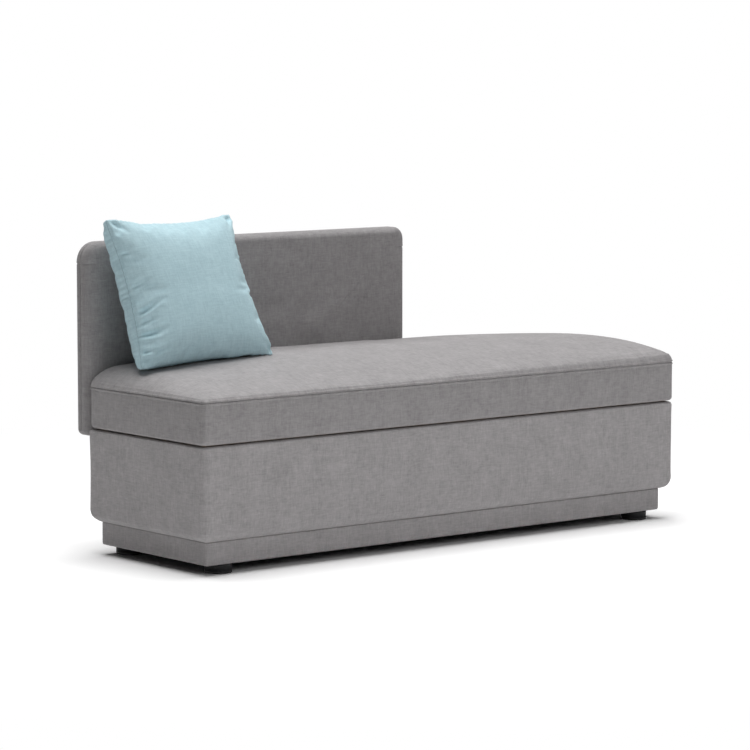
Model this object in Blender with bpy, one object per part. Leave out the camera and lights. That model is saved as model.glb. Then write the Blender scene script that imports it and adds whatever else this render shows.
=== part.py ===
"""Single-seat curved sofa: an upholstered bench with a short back panel and a loose pillow.

Metres, +Z up. X runs along the straight front, from the square left end to the curved right end,
and Y runs from the front to the back. The origin is on the floor, under the middle of the sofa.
Plan positions are given as u (from the left end) and v (from the front face).
"""

import math

import bmesh
import bpy
from mathutils import Matrix, Vector

# Plan of the base and the seat
LENGTH = 1.50
SEAT_DEPTH = 0.465
CORNER_RADIUS = 0.017
BACK_CORNER = 0.004
SEAT_BACK_CORNER = 0.018
SWEEP_LENGTH = 0.50
SWEEP_START = 0.030

# Fabric and clearances
GAP = 0.0003
FIT = 0.0006
CLOTH = 0.002
HEM = 0.028
EDGE_RADIUS = 0.009
SHARP = 0.001

# Feet
FOOT_HEIGHT = 0.0222
FOOT_RADIUS = 0.0325
FOOT_CHAMFER = 0.0025
FOOT_INSET_U = 0.085
FOOT_INSET_V = 0.060
FOOT_INSET_BACK = 0.045
FOOT_SWEEP_ANGLE = math.radians(70)
STUD_RADIUS = 0.004
STUD_SUNK = 0.013
STUD_LENGTH = 0.050

# Plinth
PLINTH_INSET = 0.026
PLINTH_BACK_INSET = 0.011
PLINTH_HEIGHT = 0.0555
PLINTH_CORNER = 0.005
PLINTH_EDGE = 0.004
PLINTH_HEM = 0.020
RAIL_THICKNESS = 0.018
BLOCK_SIZE = 0.075
BLOCK_HEIGHT = 0.045
DUST_CLOTH = 0.001

# Base
BASE_HEIGHT = 0.2258
BASE_ROLL = 0.032
WADDING = 0.008
BOARD_THICKNESS = 0.018
BEARER_FROM_LEFT = 0.400
BEARER_BEFORE_SWEEP = 0.100
BEARER_WIDTH = 0.090
BEARER_THICKNESS = 0.030
RIB_OFFSET = 0.025

# Seat
BAND_HEIGHT = 0.102
SEAT_RISE = 0.064
EDGE_ROLL = 0.012
EDGE_ROLL_END = 0.026
EVEN_ROLL_LENGTH = 0.600
DOME_FROM_FRONT = 0.300
DOME_FROM_LEFT = 0.500
DOME_STEEP_LEFT = 0.075
DOME_STEEP_SHARE = 0.57
DOME_FROM_BACK = 0.037
BACK_DROP_LENGTH = 0.150
RIDGE_FROM_LEFT = 0.520
RIDGE_FROM_BACK = 0.155
RIDGE_FROM_RIGHT = 0.570
SEAM_DEPTH = 0.0015
SEAM_FLARE = 0.0025
SEAT_RAIL_WIDTH = 0.035
SEAT_RAIL_HEIGHT = 0.050
CROSS_RAIL_WIDTH = 0.070
CROSS_RAIL_HEIGHT = 0.034
STRAP_COUNT = 6
STRAP_WIDTH = 0.070
STRAP_THICKNESS = 0.002
STRAP_END_MARGIN = 0.075
STRAP_SWEEP_MARGIN = 0.150

# Back panel
PANEL_BEFORE_SWEEP = 0.009
PANEL_THICKNESS = 0.056
PANEL_RISE = 0.2815
PANEL_DROP = 0.019
PANEL_LEFT_CORNER = 0.048
PANEL_RIGHT_CORNER = 0.032
PANEL_LOW_CORNER = 0.015
PANEL_FRONT_PAD = 0.022
PANEL_FRONT_EDGE = 0.018
PANEL_FRONT_END = 0.050
PANEL_BACK_EDGE = 0.016
PANEL_BOARD = 0.018

# Bolts that join the seat to the base and the panel to the seat
BOLT_RADIUS = 0.004
BOLT_HOLE_RADIUS = 0.0047
BOLT_HEAD_RADIUS = 0.0075
BOLT_HEAD_HEIGHT = 0.0055
BOLT_BITE = 0.022
PANEL_BOLT_BITE = 0.012
SEAT_BOLT_INSET = 0.140
SEAT_BOLT_OFFSET = 0.015
PANEL_BOLT_INSET = 0.150
PANEL_BOLT_MIDDLE = 0.4925

# Pillow
PILLOW_WIDTH = 0.403
PILLOW_TAPER = 0.070
PILLOW_HEIGHT = 0.370
PILLOW_FRONT = 0.062
PILLOW_BACK = 0.115
PILLOW_DRAWN_IN = 0.085
PILLOW_SEAM = 0.006
PILLOW_U = 0.2321
PILLOW_FROM_PANEL = 0.1683
PILLOW_SUNK = 0.012
PILLOW_LIFT = 0.002
PILLOW_YAW = math.radians(1.0)
PILLOW_LEAN = math.radians(16.5)
PILLOW_SHIFT = -0.042

# Facets
CORNER_STEPS = 4
SWEEP_STEPS = 20
EDGE_STEPS = 4
ROLL_STEPS = 5
FRONT_RUN = 14
BACK_RUN = 10
LEFT_RUN = 6
DOME_SHARES = (0.03, 0.06, 0.10, 0.15, 0.24, 0.38, 0.58, 0.80, 0.97)
PANEL_STEPS = 6
FOOT_SIDES = 24
BOLT_SIDES = 12
PILLOW_COLUMNS = 14
PILLOW_ROWS = 12

# Heights worked out from the sizes above
PLINTH_Z = FOOT_HEIGHT + GAP
BASE_Z = PLINTH_Z + PLINTH_HEIGHT
BASE_TOP = BASE_Z + BASE_HEIGHT
SEAT_Z = BASE_TOP + GAP
SEAM_Z = SEAT_Z + BAND_HEIGHT
SEAT_TOP = SEAM_Z + SEAT_RISE
PANEL_Z = SEAT_Z - PANEL_DROP
PANEL_TOP = SEAT_TOP + PANEL_RISE
PANEL_FACE = SEAT_DEPTH + GAP
OVERALL_DEPTH = PANEL_FACE + PANEL_THICKNESS
PILLOW_V = PANEL_FACE - PILLOW_FROM_PANEL
SWEEP_CENTRE = LENGTH - SWEEP_LENGTH
BEARER_PLACES = (BEARER_FROM_LEFT, SWEEP_CENTRE - BEARER_BEFORE_SWEEP)
PANEL_LENGTH = SWEEP_CENTRE - PANEL_BEFORE_SWEEP
PANEL_BOLT_PLACES = (PANEL_BOLT_INSET, PANEL_BOLT_MIDDLE, PANEL_LENGTH - PANEL_BOLT_INSET)
SWEEP_DEPTH = SEAT_DEPTH - SWEEP_START

FABRIC_GREY = (0.30, 0.29, 0.29)
PILLOW_BLUE = (0.42, 0.53, 0.57)
TIMBER = (0.56, 0.40, 0.24)
PLYWOOD = (0.66, 0.50, 0.32)
FOAM = (0.80, 0.74, 0.58)
WADDING_WHITE = (0.82, 0.82, 0.80)
WEBBING = (0.10, 0.10, 0.11)
BLACK_PLASTIC = (0.012, 0.012, 0.012)
BLACK_CLOTH = (0.02, 0.02, 0.02)
ZINC = (0.62, 0.62, 0.60)


def clear_scene():
    for item in list(bpy.data.objects):
        bpy.data.objects.remove(item, do_unlink=True)


def principled(name, colour, roughness, metallic=0.0):
    material = bpy.data.materials.new(name)
    material.use_nodes = True
    shader = material.node_tree.nodes["Principled BSDF"]
    shader.inputs["Base Color"].default_value = (*colour, 1.0)
    shader.inputs["Roughness"].default_value = roughness
    shader.inputs["Metallic"].default_value = metallic
    return material


def place(u, v, z):
    """World position of a plan point."""
    return Vector((u - LENGTH / 2, v - OVERALL_DEPTH / 2, z))


def add_object(name, mesh_data, look, smooth=True):
    """Make a closed, outward-facing object from a bmesh."""
    bmesh.ops.recalc_face_normals(mesh_data, faces=mesh_data.faces)
    if mesh_data.calc_volume(signed=True) < 0:
        bmesh.ops.reverse_faces(mesh_data, faces=mesh_data.faces)
    mesh = bpy.data.meshes.new(name)
    mesh_data.to_mesh(mesh)
    mesh_data.free()
    if smooth:
        mesh.shade_smooth()
        mesh.set_sharp_from_angle(angle=math.radians(35))
    mesh.materials.append(principled(name, *look))
    item = bpy.data.objects.new(name, mesh)
    bpy.context.scene.collection.objects.link(item)
    return item


def bridge(mesh_data, first, second):
    """Quads between two rings with equally many vertices."""
    for k in range(len(first)):
        after = (k + 1) % len(first)
        mesh_data.faces.new((first[k], first[after], second[after], second[k]))


def stack(name, rings, look):
    """Solid made of rings in order, closed by a flat face at both ends."""
    mesh_data = bmesh.new()
    loops = [[mesh_data.verts.new(point) for point in ring] for ring in rings]
    for lower, upper in zip(loops, loops[1:]):
        bridge(mesh_data, lower, upper)
    mesh_data.faces.new(loops[0])
    mesh_data.faces.new(loops[-1])
    return add_object(name, mesh_data, look)


def swept(name, rings, look):
    """Band that closes on itself: the last ring joins the first."""
    mesh_data = bmesh.new()
    loops = [[mesh_data.verts.new(point) for point in ring] for ring in rings]
    for k, loop in enumerate(loops):
        bridge(mesh_data, loop, loops[(k + 1) % len(loops)])
    return add_object(name, mesh_data, look)


def dish(name, outer, inner, look):
    """Thin open dish from rings that run from the rim to the middle, outside and inside."""
    return stack(name, list(reversed(outer)) + inner, look)


def box(name, u_range, v_range, z_range, look):
    """Straight board or strap, with its origin at its middle."""
    centre = [(low + high) / 2 for low, high in (u_range, v_range, z_range)]
    sides = [high - low for low, high in (u_range, v_range, z_range)]
    mesh_data = bmesh.new()
    bmesh.ops.create_cube(mesh_data, size=1.0, matrix=Matrix.Diagonal((*sides, 1.0)))
    item = add_object(name, mesh_data, look, smooth=False)
    item.location = place(*centre)
    return item


def circle(radius, z, sides):
    turns = [2 * math.pi * k / sides for k in range(sides)]
    return [Vector((radius * math.cos(turn), radius * math.sin(turn), z)) for turn in turns]


def hexagon(radius, z):
    """Hexagon with a point at each corner and at the middle of each side."""
    flat = radius * math.cos(math.pi / 6)
    reach = [radius if k % 2 == 0 else flat for k in range(BOLT_SIDES)]
    ring = circle(1.0, z, BOLT_SIDES)
    return [Vector((p.x * r, p.y * r, z)) for p, r in zip(ring, reach)]


def drill(item, spots, axis_turn, length):
    """Cut a bolt hole at each spot: a cylinder centred there, turned to the hole's axis."""
    for k, spot in enumerate(spots):
        mesh_data = bmesh.new()
        bmesh.ops.create_cone(mesh_data, cap_ends=True, segments=BOLT_SIDES, depth=length,
                              radius1=BOLT_HOLE_RADIUS, radius2=BOLT_HOLE_RADIUS)
        mesh = bpy.data.meshes.new(f"{item.name}_hole_{k + 1}")
        mesh_data.to_mesh(mesh)
        mesh_data.free()
        cutter = bpy.data.objects.new(mesh.name, mesh)
        bpy.context.scene.collection.objects.link(cutter)
        cutter.location = spot
        cutter.rotation_euler = axis_turn
        cutter.hide_render = True
        cutter.display_type = "WIRE"
        cut = item.modifiers.new(mesh.name, "BOOLEAN")
        cut.operation = "DIFFERENCE"
        cut.object = cutter


def sweep_point(angle, inset, back):
    """Point of the curved end, moved in along its normal by inset in front and by back behind."""
    normal = Vector((SWEEP_DEPTH * math.cos(angle), SWEEP_LENGTH * math.sin(angle))).normalized()
    moved = inset + (back - inset) * math.sin(angle) ** 2
    u = SWEEP_CENTRE + SWEEP_LENGTH * math.cos(angle) - moved * normal.x
    v = SWEEP_START + SWEEP_DEPTH * math.sin(angle) - moved * normal.y
    return u, v, normal


def sweep_angle(inset, back, reached):
    """Least angle on the curved end, moved in, where reached(u, v) holds."""
    low, high = 0.0, math.pi / 2
    if reached(*sweep_point(low, inset, back)[:2]):
        return low
    for _ in range(40):
        middle = (low + high) / 2
        if reached(*sweep_point(middle, inset, back)[:2]):
            high = middle
        else:
            low = middle
    return high


def depth_at(u, inset):
    """How far back the plan, moved in by inset, reaches at u."""
    if u <= SWEEP_CENTRE:
        return SEAT_DEPTH - inset
    return sweep_point(sweep_angle(inset, inset, lambda along, _: along <= u), inset, inset)[1]


def arc(centre_u, centre_v, radius, start):
    """Quarter turn of a rounded corner, counterclockwise from start."""
    turns = [math.radians(start + 90 * k / CORNER_STEPS) for k in range(CORNER_STEPS + 1)]
    return [(centre_u + radius * math.cos(turn), centre_v + radius * math.sin(turn)) for turn in turns]


def plan(inset, back, radius, back_radius):
    """Plan of the sofa moved in by inset, at the back by back, counterclockwise from front left."""
    near = inset + radius
    start = sweep_angle(inset, back, lambda _, along: along >= near)
    end_u = sweep_point(start, inset, back)[0]
    points = arc(near, near, radius, 180)
    points += arc(end_u - radius, near, radius, 270)
    for k in range(1, SWEEP_STEPS + 1):
        points.append(sweep_point(start + (math.pi / 2 - start) * k / SWEEP_STEPS, inset, back)[:2])
    points += arc(inset + back_radius, SEAT_DEPTH - back - back_radius, back_radius, 90)
    return points


def level(inset, z, back_corner=BACK_CORNER):
    """Ring of the plan at one height. Corners lose their radius as the plan moves in."""
    front = max(CORNER_RADIUS - inset, SHARP)
    back = max(back_corner - inset, SHARP)
    return [place(u, v, z) for u, v in plan(inset, inset, front, back)]


def sharp_level(inset, z):
    return [place(u, v, z) for u, v in plan(inset, inset, SHARP, SHARP)]


def plinth_level(inset, z, corner=SHARP):
    """Ring of the plinth, which is set back less behind than in front."""
    radius = max(corner + PLINTH_INSET - inset, SHARP)
    back = inset - PLINTH_INSET + PLINTH_BACK_INSET
    return [place(u, v, z) for u, v in plan(inset, back, radius, radius)]


def rounded(centre_inset, centre_z, radius, first, last, steps=EDGE_STEPS):
    """Section of a rounded edge as (inset, z), with angles measured up from straight out."""
    turns = [math.radians(first + (last - first) * k / steps) for k in range(steps + 1)]
    return [(centre_inset - radius * math.cos(turn), centre_z + radius * math.sin(turn)) for turn in turns]


def half_chord(radius, distance):
    """Half the chord of a circle at a distance from its centre."""
    return math.sqrt(max(radius ** 2 - distance ** 2, 0.0))


def frame_of_rails(prefix, inset, back, width, z_range, look):
    """Front, back, left and curved rail of one frame, butted at the corners."""
    inner = inset + width
    inner_back = back + width
    clear_of_front = sweep_angle(inner, inner_back, lambda _, along: along >= inner + GAP)
    front_end = sweep_point(sweep_angle(inset, back, lambda _, along: along >= inner), inset, back)[0]
    front = (inset, inner)
    behind = (SEAT_DEPTH - inner_back, SEAT_DEPTH - back)
    between = (inner + GAP, SEAT_DEPTH - inner_back - GAP)
    rails = {
        "front": box(f"{prefix}_front", (inset, front_end), front, z_range, look),
        "back": box(f"{prefix}_back", (inset, SWEEP_CENTRE - GAP), behind, z_range, look),
        "left": box(f"{prefix}_left", front, between, z_range, look),
    }
    span = math.pi / 2 - clear_of_front
    angles = [clear_of_front + span * k / SWEEP_STEPS for k in range(SWEEP_STEPS + 1)]
    outside = [sweep_point(angle, inset, back)[:2] for angle in angles]
    inside = [sweep_point(angle, inner, inner_back)[:2] for angle in reversed(angles)]
    rings = [[place(u, v, z) for u, v in outside + inside] for z in z_range]
    rails["curved"] = stack(f"{prefix}_curved", rings, look)
    return rails


def add_feet(block_bottom):
    """Four screw-in feet on studs, each under a block in a corner of the plinth."""
    rail_inner = CLOTH + FIT + RAIL_THICKNESS + GAP
    inner = PLINTH_INSET + rail_inner
    inner_back = PLINTH_BACK_INSET + rail_inner
    half = BLOCK_SIZE / 2
    middle = inner + half
    behind = SEAT_DEPTH - inner_back - half
    beside = sweep_angle(inner, inner_back, lambda _, along: along >= middle + half)
    right = sweep_point(beside, inner, inner_back)[0] - half
    sagitta = BLOCK_SIZE ** 2 / (8 * (SWEEP_DEPTH ** 2 / SWEEP_LENGTH))
    edge_u, edge_v, normal = sweep_point(FOOT_SWEEP_ANGLE, 0.0, 0.0)
    edge = Vector((edge_u, edge_v))
    corners = {
        "front_left": ((FOOT_INSET_U, FOOT_INSET_V), (middle, middle), 0.0),
        "front_right": ((LENGTH - FOOT_INSET_U, FOOT_INSET_V), (right, middle), 0.0),
        "back_left": ((FOOT_INSET_U, SEAT_DEPTH - FOOT_INSET_BACK), (middle, behind), 0.0),
        "back_right": (edge - normal * FOOT_INSET_V, edge - normal * (middle + sagitta),
                       math.atan2(normal.y, normal.x)),
    }
    spots = []
    for corner, (foot_at, block_at, turn) in corners.items():
        axis = bpy.data.objects.new(f"foot_axis_{corner}", None)
        bpy.context.scene.collection.objects.link(axis)
        axis.location = place(*foot_at, 0.0)
        rim = FOOT_RADIUS - FOOT_CHAMFER
        turned = [
            circle(rim, 0.0, FOOT_SIDES),
            circle(FOOT_RADIUS, FOOT_CHAMFER, FOOT_SIDES),
            circle(FOOT_RADIUS, FOOT_HEIGHT - FOOT_CHAMFER, FOOT_SIDES),
            circle(rim, FOOT_HEIGHT, FOOT_SIDES),
            circle(STUD_RADIUS + FIT, FOOT_HEIGHT, FOOT_SIDES),
            circle(STUD_RADIUS + FIT, FOOT_HEIGHT - STUD_SUNK, FOOT_SIDES),
        ]
        foot = stack(f"foot_{corner}", turned, (BLACK_PLASTIC, 0.45))
        foot.parent = axis
        stud_bottom = FOOT_HEIGHT - STUD_SUNK + GAP
        ends = [circle(STUD_RADIUS, z, BOLT_SIDES) for z in (stud_bottom, stud_bottom + STUD_LENGTH)]
        stud = stack(f"foot_stud_{corner}", ends, (ZINC, 0.35, 1.0))
        stud.parent = axis
        block = box(f"corner_block_{corner}", (-half, half), (-half, half),
                    (block_bottom, block_bottom + BLOCK_HEIGHT), (TIMBER, 0.7))
        block.location = place(*block_at, block_bottom + BLOCK_HEIGHT / 2)
        block.rotation_euler = (0.0, 0.0, turn)
        drill(block, [place(*foot_at, block_bottom + BLOCK_HEIGHT / 2)], (0, 0, 0), BLOCK_HEIGHT * 2)
        spots.append(place(*foot_at, PLINTH_Z))
    return spots


def add_plinth(top):
    """Recessed timber frame in a fabric band, closed below by a dust cloth."""
    inner = PLINTH_INSET + CLOTH
    hem = PLINTH_INSET + PLINTH_HEM
    rail_z = PLINTH_Z + CLOTH + GAP
    frame_of_rails("plinth_rail", inner + FIT, PLINTH_BACK_INSET + CLOTH + FIT, RAIL_THICKNESS,
                   (rail_z, top), (TIMBER, 0.7))
    section = [(PLINTH_INSET, top)]
    section += rounded(PLINTH_INSET + PLINTH_EDGE, PLINTH_Z + PLINTH_EDGE, PLINTH_EDGE, 0, -90)
    section += [(hem, PLINTH_Z)]
    rings = [plinth_level(inset, z, PLINTH_CORNER) for inset, z in section]
    lining = [(hem, PLINTH_Z + CLOTH), (inner, PLINTH_Z + CLOTH), (inner, top)]
    rings += [plinth_level(inset, z) for inset, z in lining]
    swept("plinth_cover", rings, (FABRIC_GREY, 0.95))
    spots = add_feet(rail_z)
    cloth = [plinth_level(hem + GAP, z) for z in (PLINTH_Z, PLINTH_Z + DUST_CLOTH)]
    sheet = stack("plinth_dust_cloth", cloth, (BLACK_CLOTH, 0.95))
    drill(sheet, spots, (0, 0, 0), DUST_CLOTH * 10)


def add_base():
    """Plywood box with a padded, rolled lower edge, and bearers that carry the seat."""
    roll_z = BASE_Z + BASE_ROLL
    rim_z = BASE_TOP - EDGE_RADIUS
    wadding_outer = CLOTH + GAP
    wadding_inner = wadding_outer + WADDING
    board_inset = wadding_inner + FIT
    board_z = roll_z + GAP
    board_top = BASE_TOP - CLOTH - GAP
    ply = (PLYWOOD, 0.65)

    add_plinth(BASE_Z - GAP)
    deck = [sharp_level(BASE_ROLL + 2 * FIT, BASE_Z + CLOTH + FIT), sharp_level(board_inset, roll_z)]
    stack("base_deck", deck, ply)
    frame_of_rails("base_board", board_inset, board_inset, BOARD_THICKNESS, (board_z, board_top), ply)

    hem = board_inset + BOARD_THICKNESS
    under = BASE_ROLL + HEM
    section = [(hem, BASE_TOP)]
    section += rounded(EDGE_RADIUS, rim_z, EDGE_RADIUS, 90, 0)
    section += rounded(BASE_ROLL, roll_z, BASE_ROLL, 0, -90)
    section += [(under, BASE_Z), (under, BASE_Z + CLOTH)]
    section += rounded(BASE_ROLL, roll_z, BASE_ROLL - CLOTH, -90, 0)
    section += rounded(EDGE_RADIUS, rim_z, EDGE_RADIUS - CLOTH, 0, 90)
    section += [(hem, BASE_TOP - CLOTH)]
    swept("base_cover", [level(inset, z) for inset, z in section], (FABRIC_GREY, 0.95))

    rolled = EDGE_STEPS - 1
    end = -90 * rolled / EDGE_STEPS
    outside = rounded(EDGE_RADIUS, rim_z, EDGE_RADIUS - wadding_outer, 45, 0, EDGE_STEPS // 2)
    outside += rounded(BASE_ROLL, roll_z, BASE_ROLL - wadding_outer, 0, end, rolled)
    inside = rounded(BASE_ROLL, roll_z, BASE_ROLL - wadding_inner, end, 0, rolled)
    inside += [(wadding_inner, outside[0][1])]
    rings = [level(inset, z) for inset, z in outside]
    rings += [sharp_level(inset, z) for inset, z in inside]
    swept("base_wadding", rings, (WADDING_WHITE, 0.95))

    reach = max(hem, HEM) + GAP
    across = (reach, SEAT_DEPTH - reach)
    bearer_top = SEAT_Z + CLOTH - DUST_CLOTH - GAP
    bearer_z = bearer_top - BEARER_THICKNESS
    for side, at in zip(("left", "right"), BEARER_PLACES):
        rib = (at - RIB_OFFSET - BOARD_THICKNESS / 2, at - RIB_OFFSET + BOARD_THICKNESS / 2)
        box(f"base_rib_{side}", rib, across, (board_z, bearer_z - GAP), ply)
        wide = (at - BEARER_WIDTH / 2, at + BEARER_WIDTH / 2)
        bearer = box(f"base_bearer_{side}", wide, across, (bearer_z, bearer_top), (TIMBER, 0.7))
        spots = [place(u, v, bearer_z) for u, v in seat_bolt_spots(at)]
        drill(bearer, spots, (0, 0, 0), BEARER_THICKNESS * 4)
    return bearer_z


def seat_bolt_spots(at):
    """The two bolts through one bearer, towards the front and the back."""
    u = at + SEAT_BOLT_OFFSET
    return [(u, SEAT_BOLT_INSET), (u, SEAT_DEPTH - SEAT_BOLT_INSET)]


def bolt(name, length):
    """Hexagon bolt along its own +Z, with the underside of its head at the origin."""
    rings = [
        hexagon(BOLT_HEAD_RADIUS, -BOLT_HEAD_HEIGHT),
        hexagon(BOLT_HEAD_RADIUS, 0.0),
        circle(BOLT_RADIUS, 0.0, BOLT_SIDES),
        circle(BOLT_RADIUS, length, BOLT_SIDES),
    ]
    return stack(name, rings, (ZINC, 0.35, 1.0))


def filled(ring):
    """Ring of the plan with points added along its straight front, back and left side."""
    last = len(ring) - 1
    runs = {CORNER_STEPS: FRONT_RUN, last - CORNER_STEPS - 1: BACK_RUN, last: LEFT_RUN}
    points = []
    for k, point in enumerate(ring):
        steps = runs.get(k, 1)
        points += [point.lerp(ring[(k + 1) % len(ring)], j / steps) for j in range(steps)]
    return points


def seat_level(inset, z):
    """Ring of the soft seat, whose back corner is rounder than the base's."""
    return filled(level(inset, z, SEAT_BACK_CORNER))


def edge_distances(point):
    """How far a point is from the left side, the front, and the back with the curved end."""
    u, v = point.x + LENGTH / 2, point.y + OVERALL_DEPTH / 2
    bend = math.hypot(max(u - SWEEP_CENTRE, 0.0) / SWEEP_LENGTH, max(v - SWEEP_START, 0.0) / SWEEP_DEPTH)
    return u, v, SWEEP_DEPTH * (1 - bend)


def rise(away, reach):
    """Share of a soft rise at some way from an edge: it levels out at its reach."""
    return 1 - max(1 - away / reach, 0.0) ** 2


def dome(point):
    """Share of the soft top's rise at a point. It climbs from the front and, first steeply, from the left.
    At the back it stays up against the panel, and it drops only towards the curved end."""
    left, front, back = edge_distances(point)
    steep = DOME_STEEP_SHARE * rise(left, DOME_STEEP_LEFT)
    slow = (1 - DOME_STEEP_SHARE) * rise(left, DOME_FROM_LEFT)
    dropped = min(max((left - SWEEP_CENTRE) / BACK_DROP_LENGTH + 1, 0.0), 1.0)
    return (steep + slow) * rise(front, DOME_FROM_FRONT) * (1 - dropped * (1 - rise(back, DOME_FROM_BACK)))


def to_ridge(point, share):
    """Point moved level towards the ridge, a line along the middle of the soft seat."""
    start = place(RIDGE_FROM_LEFT, SEAT_DEPTH - RIDGE_FROM_BACK, point.z)
    run = Vector((LENGTH - RIDGE_FROM_RIGHT - RIDGE_FROM_LEFT, 0.0, 0.0))
    along = max(0.0, min(1.0, (point - start).dot(run) / run.length_squared))
    return point.lerp(start + run * along, share)


def edge_roll(point):
    """Radius of the rolled edge at a point: the same along the left, then growing to the curved end."""
    beyond = max(point.x + LENGTH / 2 - EVEN_ROLL_LENGTH, 0.0) / (LENGTH - EVEN_ROLL_LENGTH)
    return EDGE_ROLL + (EDGE_ROLL_END - EDGE_ROLL) * beyond


def top_rings(inset, sunk):
    """Rolled edge and low dome of the seat, below its outer face by sunk, from the edge to the ridge."""
    edge, inner = (seat_level(away, SEAM_Z + SEAM_FLARE) for away in (inset, EDGE_ROLL_END))
    rolls = [edge_roll(point) for point in edge]
    rings = []
    for k in range(ROLL_STEPS + 1):
        turn = math.pi / 2 * k / ROLL_STEPS
        ring = []
        for roll, start, end in zip(rolls, edge, inner):
            moved = (roll - inset) * (1 - math.cos(turn)) / (EDGE_ROLL_END - inset)
            lifted = (roll - SEAM_FLARE - sunk) * math.sin(turn)
            ring.append(start.lerp(end, moved) + Vector((0, 0, lifted)))
        rings.append(ring)
    rings += [[to_ridge(point, share) for point in rings[-1]] for share in DOME_SHARES]
    return [[point + Vector((0, 0, (SEAT_RISE - roll) * dome(point))) for roll, point in zip(rolls, ring)]
            for ring in rings]


def add_seat(bearer_z):
    """Webbed timber frame, foam block and a cover sewn from a side band and a crowned top."""
    rail_inset = EDGE_RADIUS + CLOTH
    rail_z = SEAT_Z + CLOTH + GAP
    rail_top = rail_z + SEAT_RAIL_HEIGHT
    inner = rail_inset + SEAT_RAIL_WIDTH
    rails = frame_of_rails("seat_rail", rail_inset, rail_inset, SEAT_RAIL_WIDTH, (rail_z, rail_top),
                           (TIMBER, 0.7))

    lining = [sharp_level(HEM + GAP, z) for z in (rail_z - GAP - DUST_CLOTH, rail_z - GAP)]
    underlining = stack("seat_underlining", lining, (BLACK_CLOTH, 0.95))
    across = (inner + GAP, SEAT_DEPTH - inner - GAP)
    for side, at in zip(("left", "right"), BEARER_PLACES):
        wide = (at - CROSS_RAIL_WIDTH / 2, at + CROSS_RAIL_WIDTH / 2)
        cross = box(f"seat_cross_rail_{side}", wide, across, (rail_z, rail_z + CROSS_RAIL_HEIGHT),
                    (TIMBER, 0.7))
        spots = [place(u, v, rail_z) for u, v in seat_bolt_spots(at)]
        drill(cross, spots, (0, 0, 0), 2 * (BOLT_BITE + FIT))
        drill(underlining, spots, (0, 0, 0), DUST_CLOTH * 4)
        for row, spot in zip(("front", "back"), seat_bolt_spots(at)):
            seat_bolt = bolt(f"seat_bolt_{side}_{row}", rail_z + BOLT_BITE - bearer_z)
            seat_bolt.location = place(*spot, bearer_z - GAP)

    strap_z = rail_top + GAP
    first = rail_inset + STRAP_END_MARGIN
    last = LENGTH - rail_inset - STRAP_SWEEP_MARGIN
    half = STRAP_WIDTH / 2
    for k in range(STRAP_COUNT):
        at = first + (last - first) * k / (STRAP_COUNT - 1)
        reach = (rail_inset + GAP, depth_at(at + half, rail_inset) - GAP)
        box(f"seat_strap_{k + 1}", (at - half, at + half), reach,
            (strap_z, strap_z + STRAP_THICKNESS), (WEBBING, 0.85))

    foam_inset = CLOTH + GAP
    foam = [seat_level(foam_inset, strap_z + STRAP_THICKNESS + GAP)] + top_rings(foam_inset, foam_inset)
    stack("seat_foam", foam, (FOAM, 0.9))

    rim_z = SEAT_Z + EDGE_RADIUS
    section = [(HEM, SEAT_Z)]
    section += rounded(EDGE_RADIUS, rim_z, EDGE_RADIUS, -90, 0)
    section += [(0.0, SEAM_Z - SEAM_FLARE), (SEAM_DEPTH, SEAM_Z), (CLOTH, SEAM_Z)]
    section += rounded(EDGE_RADIUS, rim_z, EDGE_RADIUS - CLOTH, 0, -90)
    section += [(HEM, SEAT_Z + CLOTH)]
    band = swept("seat_side_band", [level(inset, z, SEAT_BACK_CORNER) for inset, z in section],
                 (FABRIC_GREY, 0.95))

    outer = [seat_level(SEAM_DEPTH, SEAM_Z + GAP)] + top_rings(0.0, 0.0)
    lined = [seat_level(CLOTH, SEAM_Z + GAP)] + top_rings(CLOTH, CLOTH)
    dish("seat_top_cover", outer, lined, (FABRIC_GREY, 0.95))
    return rails["back"], band, (rail_z + rail_top) / 2, SEAT_DEPTH - inner


def panel_ring(end, edge, v):
    """Outline of the back panel at depth v, moved in by end at its ends and by edge above and below."""
    drawn = (end + edge) / 2
    lower = max(PANEL_LOW_CORNER - drawn, SHARP)
    left_corner = max(PANEL_LEFT_CORNER - drawn, SHARP)
    right_corner = max(PANEL_RIGHT_CORNER - drawn, SHARP)
    right = PANEL_LENGTH - end
    low, high = PANEL_Z + edge + lower, PANEL_TOP - edge
    points = arc(end + lower, low, lower, 180)
    points += arc(right - lower, low, lower, 270)
    points += arc(right - right_corner, high - right_corner, right_corner, 0)
    points += arc(end + left_corner, high - left_corner, left_corner, 90)
    return [place(u, v, z) for u, z in points]


def panel_side(seam_v, face_v, pad, edge, end, inset):
    """Rings from the seam over a rounded edge to a flat face; inset keeps inside the outer face.
    The edge is pad deep, and it rounds further in at the ends, by end, than above and below."""
    inward = 1 if seam_v > face_v else -1
    rings = [panel_ring(inset, inset, seam_v)]
    for k in range(PANEL_STEPS + 1):
        turn = math.pi / 2 * k / PANEL_STEPS
        ends, edges = (size - (size - inset) * math.cos(turn) for size in (end, edge))
        rings.append(panel_ring(ends, edges, face_v + inward * (pad - (pad - inset) * math.sin(turn))))
    return rings


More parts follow.
